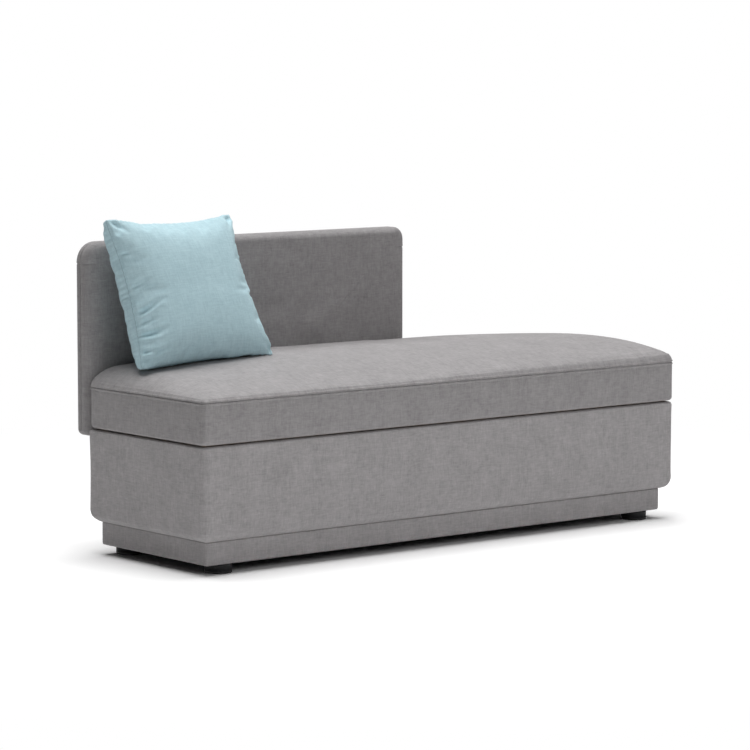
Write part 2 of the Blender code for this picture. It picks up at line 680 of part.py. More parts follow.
def add_panel(back_rail, band, bolt_z, rail_face):
    """Plywood board padded on both sides, in a cover sewn from a front and a back half."""
    back_v = PANEL_FACE + PANEL_THICKNESS
    board_v = PANEL_FACE + PANEL_FRONT_PAD + GAP
    board_back = board_v + PANEL_BOARD
    seam_v = (board_v + board_back) / 2
    pad = CLOTH + GAP
    grey = (FABRIC_GREY, 0.95)

    front_shape = (PANEL_FACE, PANEL_FRONT_PAD, PANEL_FRONT_EDGE, PANEL_FRONT_END)
    back_shape = (back_v, PANEL_BACK_EDGE, PANEL_BACK_EDGE, PANEL_BACK_EDGE)
    front = dish("panel_front_cover", panel_side(seam_v - GAP / 2, *front_shape, 0.0),
                 panel_side(seam_v - GAP / 2, *front_shape, CLOTH), grey)
    dish("panel_back_cover", panel_side(seam_v + GAP / 2, *back_shape, 0.0),
         panel_side(seam_v + GAP / 2, *back_shape, CLOTH), grey)
    front_pad = stack("panel_front_foam", panel_side(board_v - GAP, *front_shape, pad)[1:], (FOAM, 0.9))
    stack("panel_back_foam", panel_side(board_back + GAP, *back_shape, pad), (FOAM, 0.9))
    board = stack("panel_board", [panel_ring(pad, pad, v) for v in (board_v, board_back)], (PLYWOOD, 0.65))

    along = (math.radians(-90), 0.0, 0.0)
    end_v = board_v + PANEL_BOLT_BITE
    for k, u in enumerate(PANEL_BOLT_PLACES):
        panel_bolt = bolt(f"panel_bolt_{k + 1}", end_v - rail_face)
        panel_bolt.location = place(u, rail_face - GAP, bolt_z)
        panel_bolt.rotation_euler = along
    hole = 2 * (end_v + FIT - PANEL_FACE)
    for item in (back_rail, band, front, front_pad, board):
        reach = 4 * SEAT_RAIL_WIDTH if item is back_rail else hole
        middle_v = rail_face if item is back_rail else PANEL_FACE
        drill(item, [place(u, middle_v, bolt_z) for u in PANEL_BOLT_PLACES], along, reach)


def pillow_grid(trim, thickness, lift, middle):
    """Rows of points of one swollen half. trim draws the rim in, and lift moves it off the seam."""
    rows = []
    for j in range(PILLOW_ROWS + 1):
        height = 2 * j / PILLOW_ROWS - 1
        row = []
        for i in range(PILLOW_COLUMNS + 1):
            across = 2 * i / PILLOW_COLUMNS - 1
            taper = 1 - PILLOW_TAPER * (height + 1) / 2
            x = across * (PILLOW_WIDTH / 2 * taper - trim) * (1 - PILLOW_DRAWN_IN * (1 - height ** 2))
            dip = PILLOW_DRAWN_IN * (1 - across ** 2) * max(height, 0.0)
            z = height * (PILLOW_HEIGHT / 2 - trim) * (1 - dip)
            swell = math.sqrt((1 - across ** 2) * (1 - height ** 2))
            sway = PILLOW_SHIFT * (z / PILLOW_HEIGHT + 0.5)
            row.append(middle @ Vector((x + sway, lift + thickness * swell, z)))
        rows.append(row)
    return rows


def seat_height(point):
    """Height of the seat's top under a point, and a little more where the top is steep."""
    roll = edge_roll(point)
    rolled = half_chord(1.0, max(1 - max(min(edge_distances(point)), 0.0) / roll, 0.0))
    raised = dome(point)
    height = SEAM_Z + SEAM_FLARE + (roll - SEAM_FLARE) * rolled + (SEAT_RISE - roll) * raised
    return height + PILLOW_LIFT * (1 - raised)


def settle(rows, clearance):
    """Flatten a half where it meets the seat below and the back panel behind."""
    off = GAP + clearance
    wall_y = place(0.0, PANEL_FACE - off, 0.0).y
    return [[Vector((p.x, min(p.y, wall_y), max(p.z, seat_height(p) + off))) for p in row] for row in rows]


def pillow_surface(mesh_data, rows):
    """Triangles over a grid, cut so that each corner swells. Returns the rim's vertices in order."""
    verts = [[mesh_data.verts.new(point) for point in row] for row in rows]
    for j, (low, high) in enumerate(zip(verts, verts[1:])):
        for k in range(PILLOW_COLUMNS):
            corners = [low[k], low[k + 1], high[k + 1], high[k]]
            if (k < PILLOW_COLUMNS / 2) != (j < PILLOW_ROWS / 2):
                corners = corners[1:] + corners[:1]
            mesh_data.faces.new((corners[0], corners[1], corners[2]))
            mesh_data.faces.new((corners[0], corners[2], corners[3]))
    right = [row[-1] for row in verts[1:-1]]
    left = [row[0] for row in reversed(verts[1:-1])]
    return verts[0] + right + list(reversed(verts[-1])) + left


def pillow_half(name, outer, inner, look, holder):
    """Closed body between two grids, joined round their rims, carried by the pillow's empty."""
    mesh_data = bmesh.new()
    rim = pillow_surface(mesh_data, outer)
    lining = pillow_surface(mesh_data, inner)
    for k in range(len(rim)):
        mesh_data.faces.new((rim[k - 1], rim[k], lining[k]))
        mesh_data.faces.new((rim[k - 1], lining[k], lining[k - 1]))
    item = add_object(name, mesh_data, look)
    item.parent = holder
    item.matrix_parent_inverse = Matrix.Translation(-holder.location)
    return item


def add_pillow():
    """Loose pillow: two swollen panels sewn round the rim over one filling."""
    holder = bpy.data.objects.new("pillow_place", None)
    bpy.context.scene.collection.objects.link(holder)
    holder.location = place(PILLOW_U, PILLOW_V, SEAT_TOP)
    turn = Matrix.Rotation(PILLOW_YAW, 4, "Z") @ Matrix.Rotation(-PILLOW_LEAN, 4, "X")
    raise_by = Matrix.Translation((0.0, 0.0, PILLOW_HEIGHT / 2 - PILLOW_SUNK))
    middle = Matrix.Translation(holder.location) @ turn @ raise_by
    blue = (PILLOW_BLUE, 0.95)
    lift = GAP / 2
    for name, thickness, side in (("front", PILLOW_FRONT, -1), ("back", PILLOW_BACK, 1)):
        outer = settle(pillow_grid(0.0, side * thickness, side * lift, middle), 0.0)
        inner = settle(pillow_grid(PILLOW_SEAM, side * (thickness - CLOTH), side * lift, middle), CLOTH)
        pillow_half(f"pillow_{name}_cover", outer, inner, blue, holder)
    pad = CLOTH + FIT
    trim = PILLOW_SEAM + 3 * FIT
    fronts = settle(pillow_grid(trim, pad - PILLOW_FRONT, -lift, middle), pad + FIT)
    backs = settle(pillow_grid(trim, PILLOW_BACK - pad, lift, middle), pad + FIT)
    pillow_half("pillow_filling", fronts, backs, (WADDING_WHITE, 0.95), holder)


clear_scene()
add_panel(*add_seat(add_base()))
add_pillow()
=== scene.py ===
import math
import bmesh
import bpy
import numpy as np
from mathutils import Matrix, Vector, noise
from mathutils.bvhtree import BVHTree


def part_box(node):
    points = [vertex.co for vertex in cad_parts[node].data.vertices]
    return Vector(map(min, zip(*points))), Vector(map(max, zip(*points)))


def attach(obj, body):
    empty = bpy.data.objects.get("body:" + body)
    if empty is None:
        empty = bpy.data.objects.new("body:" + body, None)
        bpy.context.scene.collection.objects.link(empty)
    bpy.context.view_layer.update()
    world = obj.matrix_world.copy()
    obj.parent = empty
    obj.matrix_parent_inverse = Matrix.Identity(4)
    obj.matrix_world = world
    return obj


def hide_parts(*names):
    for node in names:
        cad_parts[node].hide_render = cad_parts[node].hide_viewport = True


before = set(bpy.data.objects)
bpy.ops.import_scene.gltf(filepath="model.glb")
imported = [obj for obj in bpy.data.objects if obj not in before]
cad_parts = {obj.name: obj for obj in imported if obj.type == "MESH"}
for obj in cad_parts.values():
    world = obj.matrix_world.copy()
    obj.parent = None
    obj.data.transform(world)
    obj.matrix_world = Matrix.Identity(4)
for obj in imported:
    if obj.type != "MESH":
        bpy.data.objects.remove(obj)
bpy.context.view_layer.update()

# Feet: four turned glides of black moulded plastic, each on a zinc stud that screws up into a block.
# The edges are eased, a parting groove runs round the wall, and the sole is scuffed by the floor.
FOOT_PLACES = {corner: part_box(f"foot_{corner}") for corner in
               ("front_left", "front_right", "back_left", "back_right")}
FOOT_SIDES, FOOT_EASE, SOLE_HOLLOW = 64, 0.0025, 0.0006
FOOT_GROOVE_Z, FOOT_GROOVE, FOOT_GROOVE_HALF = 0.0058, 0.0004, 0.0005
STUD_HOLE, STUD_DEPTH = 0.0046, 0.013


def add_node(tree, kind, inputs=None, **settings):
    """New shader node; a socket given as an input is linked, and any other value is set."""
    made = tree.nodes.new(kind)
    for name, value in settings.items():
        setattr(made, name, value)
    for key, value in (inputs or {}).items():
        if isinstance(value, bpy.types.NodeSocket):
            tree.links.new(value, made.inputs[key])
        else:
            made.inputs[key].default_value = value
    return made


def new_finish(name, **constants):
    """Material with its Principled shader, and the shader's own values that are the same all over."""
    finish = bpy.data.materials.new(name)
    finish.use_nodes = True
    shader = finish.node_tree.nodes["Principled BSDF"]
    for socket, value in constants.items():
        shader.inputs[socket.replace("_", " ")].default_value = value
    return finish, finish.node_tree, shader


def new_piece(name, points, faces, finish, smooth=True):
    mesh = bpy.data.meshes.new(name)
    mesh.from_pydata([tuple(p) for p in points], [], faces)
    mesh.materials.append(finish)
    if smooth:
        mesh.shade_smooth()
    piece = bpy.data.objects.new(name, mesh)
    bpy.context.scene.collection.objects.link(piece)
    return piece


def turned(profile, sides):
    """Points and faces of a closed turned shape; the profile runs from the axis to the axis."""
    points, faces = [Vector((0, 0, profile[0][1]))], []
    rings = []
    for radius, z in profile[1:-1]:
        rings.append(list(range(len(points), len(points) + sides)))
        for k in range(sides):
            turn = 2 * math.pi * k / sides
            points.append(Vector((radius * math.cos(turn), radius * math.sin(turn), z)))
    points.append(Vector((0, 0, profile[-1][1])))
    last = len(points) - 1
    for k in range(sides):
        after = (k + 1) % sides
        faces.append((0, rings[0][after], rings[0][k]))
        for low, high in zip(rings, rings[1:]):
            faces.append((low[k], low[after], high[after], high[k]))
        faces.append((rings[-1][k], rings[-1][after], last))
    return points, faces


def maths(tree, kind, a, b=0.0, c=0.0):
    return add_node(tree, "ShaderNodeMath", {0: a, 1: b, 2: c}, operation=kind).outputs[0]


def between(tree, share, low, high):
    return add_node(tree, "ShaderNodeMapRange", {"Value": share, "To Min": low, "To Max": high}).outputs[0]


def blended(tree, share, first, second):
    return add_node(tree, "ShaderNodeMix", {"Factor": share, "A": first, "B": second},
                    data_type="RGBA").outputs["Result"]


def wire(tree, shader, colour, rough, height, strength, distance):
    """Join a shader to its colour and roughness, and to a bump made from a height."""
    bump = add_node(tree, "ShaderNodeBump", {"Height": height, "Strength": strength, "Distance": distance})
    for socket, value in (("Base Color", colour), ("Roughness", rough), ("Normal", bump.outputs[0])):
        tree.links.new(value, shader.inputs[socket])


def black_plastic():
    finish, tree, shader = new_finish("foot_plastic", Metallic=0.0, Specular_IOR_Level=0.22)
    at = add_node(tree, "ShaderNodeTexCoord").outputs["Object"]
    grain = add_node(tree, "ShaderNodeTexNoise", {"Vector": at, "Scale": 900.0, "Detail": 3.0}).outputs["Fac"]
    cloud = add_node(tree, "ShaderNodeTexNoise", {"Vector": at, "Scale": 60.0, "Detail": 4.0}).outputs["Fac"]
    height = add_node(tree, "ShaderNodeSeparateXYZ", {"Vector": at}).outputs["Z"]
    scuff = add_node(tree, "ShaderNodeMapRange",
                     {"Value": height, "From Min": 0.006, "From Max": 0.0, "To Min": 0.0, "To Max": 0.7})
    worn = maths(tree, "MULTIPLY", scuff.outputs[0], cloud)
    colour = blended(tree, worn, (0.004, 0.004, 0.0045, 1), (0.030, 0.029, 0.028, 1))
    wire(tree, shader, colour, between(tree, cloud, 0.42, 0.62), grain, 0.15, 0.0004)
    return finish


foot_plastic = black_plastic()
for corner, (low, high) in FOOT_PLACES.items():
    radius, top = (high.x - low.x) / 2, high.z
    rim = radius - FOOT_EASE
    sole = [(0, SOLE_HOLLOW), (rim * 0.55, SOLE_HOLLOW), (rim * 0.62, 0.0)]
    ease = [(rim + FOOT_EASE * math.sin(t), FOOT_EASE * (1 - math.cos(t)))
            for t in np.linspace(0, math.pi / 2, 6)]
    wall = [(radius, FOOT_GROOVE_Z - FOOT_GROOVE_HALF), (radius - FOOT_GROOVE, FOOT_GROOVE_Z),
            (radius, FOOT_GROOVE_Z + FOOT_GROOVE_HALF)]
    over = [(r, top - z) for r, z in reversed(ease)]
    hole = [(STUD_HOLE, top), (STUD_HOLE, top - STUD_DEPTH), (0, top - STUD_DEPTH)]
    points, faces = turned(sole + ease + wall + over + hole, FOOT_SIDES)
    middle = Vector(((low.x + high.x) / 2, (low.y + high.y) / 2, 0))
    foot = new_piece(f"glide_{corner}", [p + middle for p in points], faces, foot_plastic)
    foot.data.set_sharp_from_angle(angle=math.radians(50))
    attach(foot, f"foot_{corner}")
    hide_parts(f"foot_{corner}")


# Studs and bolts: zinc plated steel, turned, with a rolled thread that shows as fine rings.
# The studs hold the feet, the long bolts hold the seat on its bearers and the panel on the seat.
def zinc_plate():
    finish, tree, shader = new_finish("zinc_plate", Metallic=1.0)
    at = add_node(tree, "ShaderNodeTexCoord").outputs["Object"]
    thread = add_node(tree, "ShaderNodeTexWave", {"Vector": at, "Scale": 260.0, "Distortion": 0.4},
                      bands_direction="Z").outputs["Fac"]
    cloud = add_node(tree, "ShaderNodeTexNoise", {"Vector": at, "Scale": 140.0, "Detail": 4.0}).outputs["Fac"]
    colour = blended(tree, cloud, (0.50, 0.50, 0.47, 1), (0.68, 0.68, 0.66, 1))
    wire(tree, shader, colour, between(tree, cloud, 0.24, 0.46), thread, 0.5, 0.0006)
    return finish


def dress(nodes, finish):
    """Give the CAD nodes a finish in place of their plain one."""
    for name in nodes:
        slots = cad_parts[name].data.materials
        slots.clear()
        slots.append(finish)


zinc = zinc_plate()
dress([f"foot_stud_{corner}" for corner in FOOT_PLACES], zinc)
dress([f"panel_bolt_{k}" for k in (1, 2, 3)], zinc)
dress([f"seat_bolt_{side}_{row}" for side in ("left", "right") for row in ("front", "back")], zinc)


# Frame timber: planed softwood rails, blocks and bearers, glued and stapled, hidden by the covers.
# The boards of the base and the panel are birch plywood with a pale, finer figure.
def new_group(name, given, made):
    """Node group and its inputs' sockets; given and made say what kind each input and output is."""
    group = bpy.data.node_groups.new(name, "ShaderNodeTree")
    for way, sockets in (("INPUT", given), ("OUTPUT", made)):
        for socket, kind in sockets.items():
            group.interface.new_socket(socket, in_out=way, socket_type=f"NodeSocket{kind}")
    return group, add_node(group, "NodeGroupInput").outputs


def wood_grain_group():
    group, given = new_group("wood_grain", {"At": "Vector", "Pale": "Color", "Dark": "Color",
                                            "Rings": "Float"}, {"Colour": "Color", "Height": "Float"})
    stretched = add_node(group, "ShaderNodeVectorMath", {0: given["At"], 1: (1.2, 9.0, 9.0)},
                         operation="MULTIPLY")
    bands = add_node(group, "ShaderNodeTexWave", {"Vector": stretched.outputs[0], "Scale": given["Rings"],
                                                 "Distortion": 7.0, "Detail": 3.0}, bands_direction="Y")
    long_fibre = add_node(group, "ShaderNodeVectorMath", {0: given["At"], 1: (14.0, 600.0, 600.0)},
                          operation="MULTIPLY")
    fibre = add_node(group, "ShaderNodeTexNoise",
                     {"Vector": long_fibre.outputs[0], "Scale": 1.0, "Detail": 3.0}).outputs["Fac"]
    mixed = maths(group, "MULTIPLY", bands.outputs["Fac"], fibre)
    colour = blended(group, mixed, given["Pale"], given["Dark"])
    add_node(group, "NodeGroupOutput", {"Colour": colour, "Height": fibre})
    return group


wood_grain = wood_grain_group()


def planed(name, pale, dark, rings, along_y=False):
    finish, tree, shader = new_finish(name, Metallic=0.0)
    at = add_node(tree, "ShaderNodeTexCoord").outputs["Object"]
    if along_y:
        at = add_node(tree, "ShaderNodeMapping", {"Vector": at, "Rotation": (0, 0, math.pi / 2)}).outputs[0]
    grain = add_node(tree, "ShaderNodeGroup", {"At": at, "Pale": pale, "Dark": dark, "Rings": rings},
                     node_tree=wood_grain).outputs
    rough = between(tree, grain["Height"], 0.55, 0.78)
    wire(tree, shader, grain["Colour"], rough, grain["Height"], 0.3, 0.0005)
    return finish


PINE_PALE, PINE_DARK = (0.62, 0.45, 0.26, 1), (0.40, 0.24, 0.11, 1)
pine_long = planed("pine_along", PINE_PALE, PINE_DARK, 5.0)
pine_cross = planed("pine_across", PINE_PALE, PINE_DARK, 5.0, along_y=True)
birch_ply = planed("birch_plywood", (0.66, 0.52, 0.35, 1), (0.50, 0.36, 0.21, 1), 3.0)
dress([f"{part}_rail_{run}" for part in ("plinth", "seat") for run in ("front", "back", "curved")], pine_long)
dress(["plinth_rail_left", "seat_rail_left", "seat_cross_rail_left", "seat_cross_rail_right",
       "base_bearer_left", "base_bearer_right"], pine_cross)
dress([f"corner_block_{corner}" for corner in FOOT_PLACES], pine_cross)
dress(["base_deck", "base_board_front", "base_board_back", "base_board_curved", "base_board_left",
       "base_rib_left", "base_rib_right", "panel_board"], birch_ply)

# Plinth cover: a strip of the grey cloth pulled round the recessed plinth and stapled underneath.
# Its upper edge is turned in over the rails under the base, its lower edge turns under with an ease.
LENGTH, DEPTH, SEAT_DEPTH = 1.500, 0.5213, 0.465
SWEEP_LENGTH, SWEEP_START = 0.500, 0.030
SWEEP_CENTRE, SWEEP_DEPTH = LENGTH - SWEEP_LENGTH, SEAT_DEPTH - SWEEP_START
CLOTH = 0.002
PLINTH_LOW, PLINTH_TOP, PLINTH_IN, PLINTH_BACK_IN = 0.0225, 0.0777, 0.026, 0.011
PLINTH_EASE, PLINTH_CORNER, PLINTH_UPPER_EASE = 0.0065, 0.007, 0.002
PLINTH_TURNED_IN, PLINTH_HEM, FLAP_CLEAR, FLAP_THICK = 0.034, 0.020, 0.00005, 0.00015
SHARP = 0.001
CORNER_STEPS, FRONT_STEPS, SWEEP_STEPS, BACK_STEPS, LEFT_STEPS = 10, 110, 76, 76, 36


def sweep_point(angle, inset, back):
    """Point of the curved end, moved in along its normal by inset in front and by back behind."""
    normal = Vector((SWEEP_DEPTH * math.cos(angle), SWEEP_LENGTH * math.sin(angle))).normalized()
    moved = inset + (back - inset) * math.sin(angle) ** 2
    return (SWEEP_CENTRE + SWEEP_LENGTH * math.cos(angle) - moved * normal.x,
            SWEEP_START + SWEEP_DEPTH * math.sin(angle) - moved * normal.y)


def bend(u, v, radius, first):
    """Quarter turn round a point, from an angle in degrees and without its last point."""
    turns = np.radians(np.linspace(first, first + 90, CORNER_STEPS + 1)[:-1])
    return [(u + radius * math.cos(t), v + radius * math.sin(t)) for t in turns]


def outline(inset, z, corner, back_corner, back=None):
    """Ring of the sofa's plan, moved in, counterclockwise from the front left corner."""
    back = inset if back is None else back
    near = inset + corner
    low, high = 0.0, math.pi / 2
    for _ in range(40):
        middle = (low + high) / 2
        low, high = (low, middle) if sweep_point(middle, inset, back)[1] >= near else (middle, high)
    end_u = sweep_point(high, inset, back)[0]
    rear = SEAT_DEPTH - back

    def run(start, end, steps):
        shares = np.linspace(0, 1, steps + 1)[:-1]
        return [(start[0] + (end[0] - start[0]) * s, start[1] + (end[1] - start[1]) * s) for s in shares]

    plan = bend(near, near, corner, 180)
    plan += run((near, inset), (end_u - corner, inset), FRONT_STEPS)
    plan += bend(end_u - corner, near, corner, 270)
    plan += [sweep_point(a, inset, back) for a in np.linspace(high, math.pi / 2, SWEEP_STEPS + 1)[:-1]]
    plan += run((SWEEP_CENTRE, rear), (inset + back_corner, rear), BACK_STEPS)
    plan += bend(inset + back_corner, rear - back_corner, back_corner, 90)
    plan += run((inset, rear - back_corner), (inset, near), LEFT_STEPS)
    return np.array([(u - LENGTH / 2, v - DEPTH / 2, z) for u, v in plan])


def measured(ring):
    """Ring closed by its first point, and how far along it each point lies."""
    loop = np.vstack([ring, ring[:1]])
    return loop, np.concatenate([[0], np.cumsum(np.linalg.norm(np.diff(loop, axis=0), axis=1))])


def loft(name, rings, finish, loop=False, flat=None, flat_from=None):
    """Closed cover through rings of points. Its cloth map is in metres: round and across the band, and
    across the piece itself from ring flat_from on, where flat picks the two axes."""
    count, rows = len(rings[0]), len(rings)
    points = np.concatenate(rings)
    faces, kinds = [], []
    for j in range(rows if loop else rows - 1):
        after = (j + 1) % rows
        for k in range(count):
            beside = (k + 1) % count
            faces.append((j * count + k, j * count + beside, after * count + beside, after * count + k))
            kinds.append((j, k))
    if not loop:
        faces.append(tuple(reversed(range(count))))
        faces.append(tuple(range((rows - 1) * count, rows * count)))
        kinds += [(-1, 0), (rows, 0)]
    piece = new_piece(name, points, faces, finish)
    widest = max(rings, key=lambda ring: np.ptp(ring[:, 0]) + np.ptp(ring[:, 1]) + np.ptp(ring[:, 2]))
    round_it = measured(widest)[1]
    apart = [np.linalg.norm(b - a, axis=1).mean() for a, b in zip(rings, rings[1:])]
    across = np.concatenate([[0], np.cumsum(apart), [0]])
    layer = piece.data.uv_layers.new(name="cloth")
    spots = np.zeros((len(piece.data.loops), 2))
    for face, (j, k) in zip(piece.data.polygons, kinds):
        for turn, loop_index in enumerate(face.loop_indices):
            vertex = piece.data.loops[loop_index].vertex_index
            if flat and (j >= flat_from or j < 0):
                spots[loop_index] = points[vertex][list(flat)]
            else:
                row = j + (turn >= 2)
                spots[loop_index] = round_it[k + (turn in (1, 2))], across[min(row, rows)]
    layer.uv.foreach_set("vector", spots.astype(np.float32).ravel())
    body = bmesh.new()
    body.from_mesh(piece.data)
    if body.calc_volume(signed=True) < 0:
        piece.data.flip_normals()
    body.free()
    return piece


def eased(inset, z, radius, first, last, steps):
    """Section of a rounded edge as (inset, z), with angles measured up from straight out."""
    turns = np.radians(np.linspace(first, last, steps + 1))
    return [(inset - radius * math.cos(t), z + radius * math.sin(t)) for t in turns]


def woven_cloth_group():
    """Plain weave of uneven yarn: thick and thin places along both sets of threads, and a faint mottle."""
    group, given = new_group("woven_cloth", {"At": "Vector", "Dark": "Color", "Light": "Color",
                                             "Threads": "Float", "Slub": "Float"},
                             {"Colour": "Color", "Height": "Float", "Roughness": "Float"})

    def sums(kind, *values):
        return maths(group, kind, *values)

    def mean(a, b):
        return sums("MULTIPLY", sums("ADD", a, b), 0.5)

    def yarn(stretch, detail, offset):
        moved = add_node(group, "ShaderNodeVectorMath", {0: given["At"], 1: stretch, 2: offset},
                         operation="MULTIPLY_ADD")
        return add_node(group, "ShaderNodeTexNoise",
                        {"Vector": moved.outputs[0], "Scale": 1.0, "Detail": detail,
                         "Roughness": 0.55}).outputs["Fac"]

    warp = yarn((230.0, 34.0, 0.0), 2.0, (0.0, 0.0, 1.7))
    weft = yarn((34.0, 230.0, 0.0), 2.0, (0.0, 0.0, 9.1))
    fine_warp = yarn((900.0, 90.0, 0.0), 1.0, (0.0, 0.0, 4.3))
    fine_weft = yarn((90.0, 900.0, 0.0), 1.0, (0.0, 0.0, 6.4))
    mottle = yarn((62.0, 62.0, 0.0), 4.0, (0.0, 0.0, 3.2))
    patch = yarn((16.0, 16.0, 0.0), 3.0, (0.0, 0.0, 8.8))
    at = add_node(group, "ShaderNodeSeparateXYZ", {"Vector": given["At"]}).outputs
    turn = sums("MULTIPLY", given["Threads"], 2 * math.pi)
    over = sums("MULTIPLY", sums("SINE", sums("MULTIPLY", at["X"], turn)),
                sums("SINE", sums("MULTIPLY", at["Y"], turn)))
    yarns, fine = mean(warp, weft), mean(fine_warp, fine_weft)
    plain = sums("MULTIPLY", sums("SUBTRACT", 1.0, given["Slub"]), mean(mottle, patch))
    tone = sums("MULTIPLY_ADD", yarns, given["Slub"], plain)
    tone = sums("MULTIPLY_ADD", sums("SUBTRACT", fine, 0.5), 0.60, tone)
    tone = sums("MULTIPLY_ADD", over, 0.03, tone)
    spread = add_node(group, "ShaderNodeMapRange",
                      {"Value": tone, "From Min": 0.30, "From Max": 0.70}).outputs[0]
    colour = blended(group, spread, given["Dark"], given["Light"])
    height = sums("MULTIPLY_ADD", over, 0.22, mean(fine, yarns))
    rough = sums("MULTIPLY_ADD", spread, 0.14, 0.80)
    add_node(group, "NodeGroupOutput", {"Colour": colour, "Height": height, "Roughness": rough})
    return group


woven_cloth = woven_cloth_group()


def cloth(name, dark, light, threads, slub, relief, sheen):
    finish, tree, shader = new_finish(name, Metallic=0.0, Specular_IOR_Level=0.25, Sheen_Weight=sheen,
                                      Sheen_Roughness=0.45)
    at = add_node(tree, "ShaderNodeUVMap", uv_map="cloth").outputs[0]
    weave = add_node(tree, "ShaderNodeGroup", {"At": at, "Dark": dark, "Light": light, "Threads": threads,
                                              "Slub": slub}, node_tree=woven_cloth).outputs
    wire(tree, shader, weave["Colour"], weave["Roughness"], weave["Height"], relief, 0.0012)
    return finish


GREY_DARK, GREY_LIGHT = (0.286, 0.274, 0.277), (0.477, 0.458, 0.463)


def grey_weave(name, painted_light):
    """The sofa's grey cloth, made paler or darker on a piece as painted light and painted shade."""
    dark, light = ((*(c * painted_light for c in colour), 1) for colour in (GREY_DARK, GREY_LIGHT))
    return cloth(name, dark, light, 420.0, 0.55, 0.35, 0.10)


# One grey cloth in three copies: the base's copy is painted paler as painted light, and the panel's copy is
# painted darker as painted shade.
grey_cloth = grey_weave("grey_cloth", 1.0)
grey_cloth_painted_light = grey_weave("grey_cloth_painted_light", 1.15)
grey_cloth_painted_shade = grey_weave("grey_cloth_painted_shade", 0.90)


def plinth_ring(inset, z, corner):
    back = inset - PLINTH_IN + PLINTH_BACK_IN
    return outline(inset, z, corner, corner, back)


flap_low = PLINTH_TOP + FLAP_CLEAR
flap_top = flap_low + FLAP_THICK
section = [(PLINTH_IN + PLINTH_TURNED_IN, flap_top)]
section += eased(PLINTH_IN + PLINTH_UPPER_EASE, flap_top - PLINTH_UPPER_EASE, PLINTH_UPPER_EASE, 90, 0, 4)
ease_z = PLINTH_LOW + PLINTH_EASE
section += [(PLINTH_IN, z) for z in np.linspace(flap_top - PLINTH_UPPER_EASE, ease_z, 8)[1:-1]]
section += eased(PLINTH_IN + PLINTH_EASE, ease_z, PLINTH_EASE, 0, -90, 8)
section += [(PLINTH_IN + PLINTH_HEM, PLINTH_LOW), (PLINTH_IN + PLINTH_HEM, PLINTH_LOW + CLOTH)]
inner = PLINTH_IN + CLOTH
section += [(inner, PLINTH_LOW + CLOTH), (inner, flap_low), (PLINTH_IN + PLINTH_TURNED_IN, flap_low)]
rings = [plinth_ring(inset, z, max(PLINTH_CORNER + PLINTH_IN - inset, SHARP)) for inset, z in section]
# The plinth band uses the copy of the grey cloth that is painted paler as painted light.
plinth_cover = loft("plinth_band", rings, grey_cloth_painted_light, loop=True)
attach(plinth_cover, "sofa")
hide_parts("plinth_cover")

# Dust cloth: thin black felted sheet stapled under the plinth's rails, slack enough to sag a little.
# Steel staples hold it every few centimetres round the edge.
DUST_IN, DUST_THICK, DUST_SAG = 0.0463, 0.0008, 0.002
STAPLE_PITCH, STAPLE_WIDE, STAPLE_WIRE, STAPLE_IN = 0.055, 0.010, 0.0007, 0.006
DUST_CLEAR, SHEET_LEFT, SHEET_RIGHT, SHEET_Y = 0.0001, 0.23, 1.10, -0.03
sheet_ridge = [Vector((u - LENGTH / 2, SHEET_Y, 0)) for u in (SHEET_LEFT, SHEET_RIGHT)]


def nearest_ridge(flat, start, end):
    run = end - start
    share = max(0.0, min(1.0, (Vector((flat[0], flat[1], 0)) - start).dot(run) / run.length_squared))
    return start + run * share


def sagging_sheet(name, edge, z, thick, sag, finish, start, end):
    """Flat sheet inside an edge ring that hangs down a little towards its middle."""
    shares = np.linspace(0, 0.96, 12)
    heart = np.array([nearest_ridge(p, start, end) for p in edge])
    lower = []
    for share in shares:
        ring = edge + (heart - edge) * share
        ring[:, 2] = z - sag * math.sin(math.pi / 2 * share)
        lower.append(ring)
    upper = [ring + np.array((0, 0, thick)) for ring in lower]
    return loft(name, list(reversed(upper)) + lower, finish, flat=(0, 1), flat_from=0)


black_felt = cloth("black_felt", (0.012, 0.012, 0.013, 1), (0.034, 0.034, 0.036, 1), 650.0, 0.2, 0.25, 0.05)
dust_edge = plinth_ring(DUST_IN, 0.0, SHARP)
dust_cloth = sagging_sheet("dust_cloth", dust_edge, PLINTH_LOW + DUST_CLEAR, DUST_THICK, DUST_SAG,
                           black_felt, *sheet_ridge)
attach(dust_cloth, "sofa")
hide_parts("plinth_dust_cloth")


def place_at(loop, reach, s):
    """Point at a distance s along a measured ring."""
    return np.array([np.interp(s, reach, loop[:, i]) for i in range(3)])


def staples(name, edge, inward, z):
    """Row of flat wire staples, each lying along the edge of a cloth."""
    points, faces = [], []
    loop, reach = measured(edge)
    for s in np.arange(STAPLE_PITCH / 2, reach[-1], STAPLE_PITCH):
        middle, ahead = (place_at(loop, reach, q) for q in (s, s + STAPLE_WIDE * 0.4))
        along = (ahead - middle) / np.linalg.norm(ahead - middle)
        side = np.array((-along[1], along[0], 0))
        middle = middle + side * inward
        first = len(points)
        for lift in (z, z - STAPLE_WIRE):
            for a, b in ((-1, -1), (1, -1), (1, 1), (-1, 1)):
                spot = middle + along * a * STAPLE_WIDE / 2 + side * b * STAPLE_WIRE / 2
                points.append((spot[0], spot[1], lift))
        faces += [tuple(first + i for i in f) for f in
                  ((0, 1, 2, 3), (7, 6, 5, 4), (0, 4, 5, 1), (1, 5, 6, 2), (2, 6, 7, 3), (3, 7, 4, 0))]
    return new_piece(name, points, faces, zinc, smooth=False)


dust_staples = staples("dust_cloth_staples", dust_edge, STAPLE_IN, PLINTH_LOW)
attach(dust_staples, "sofa")

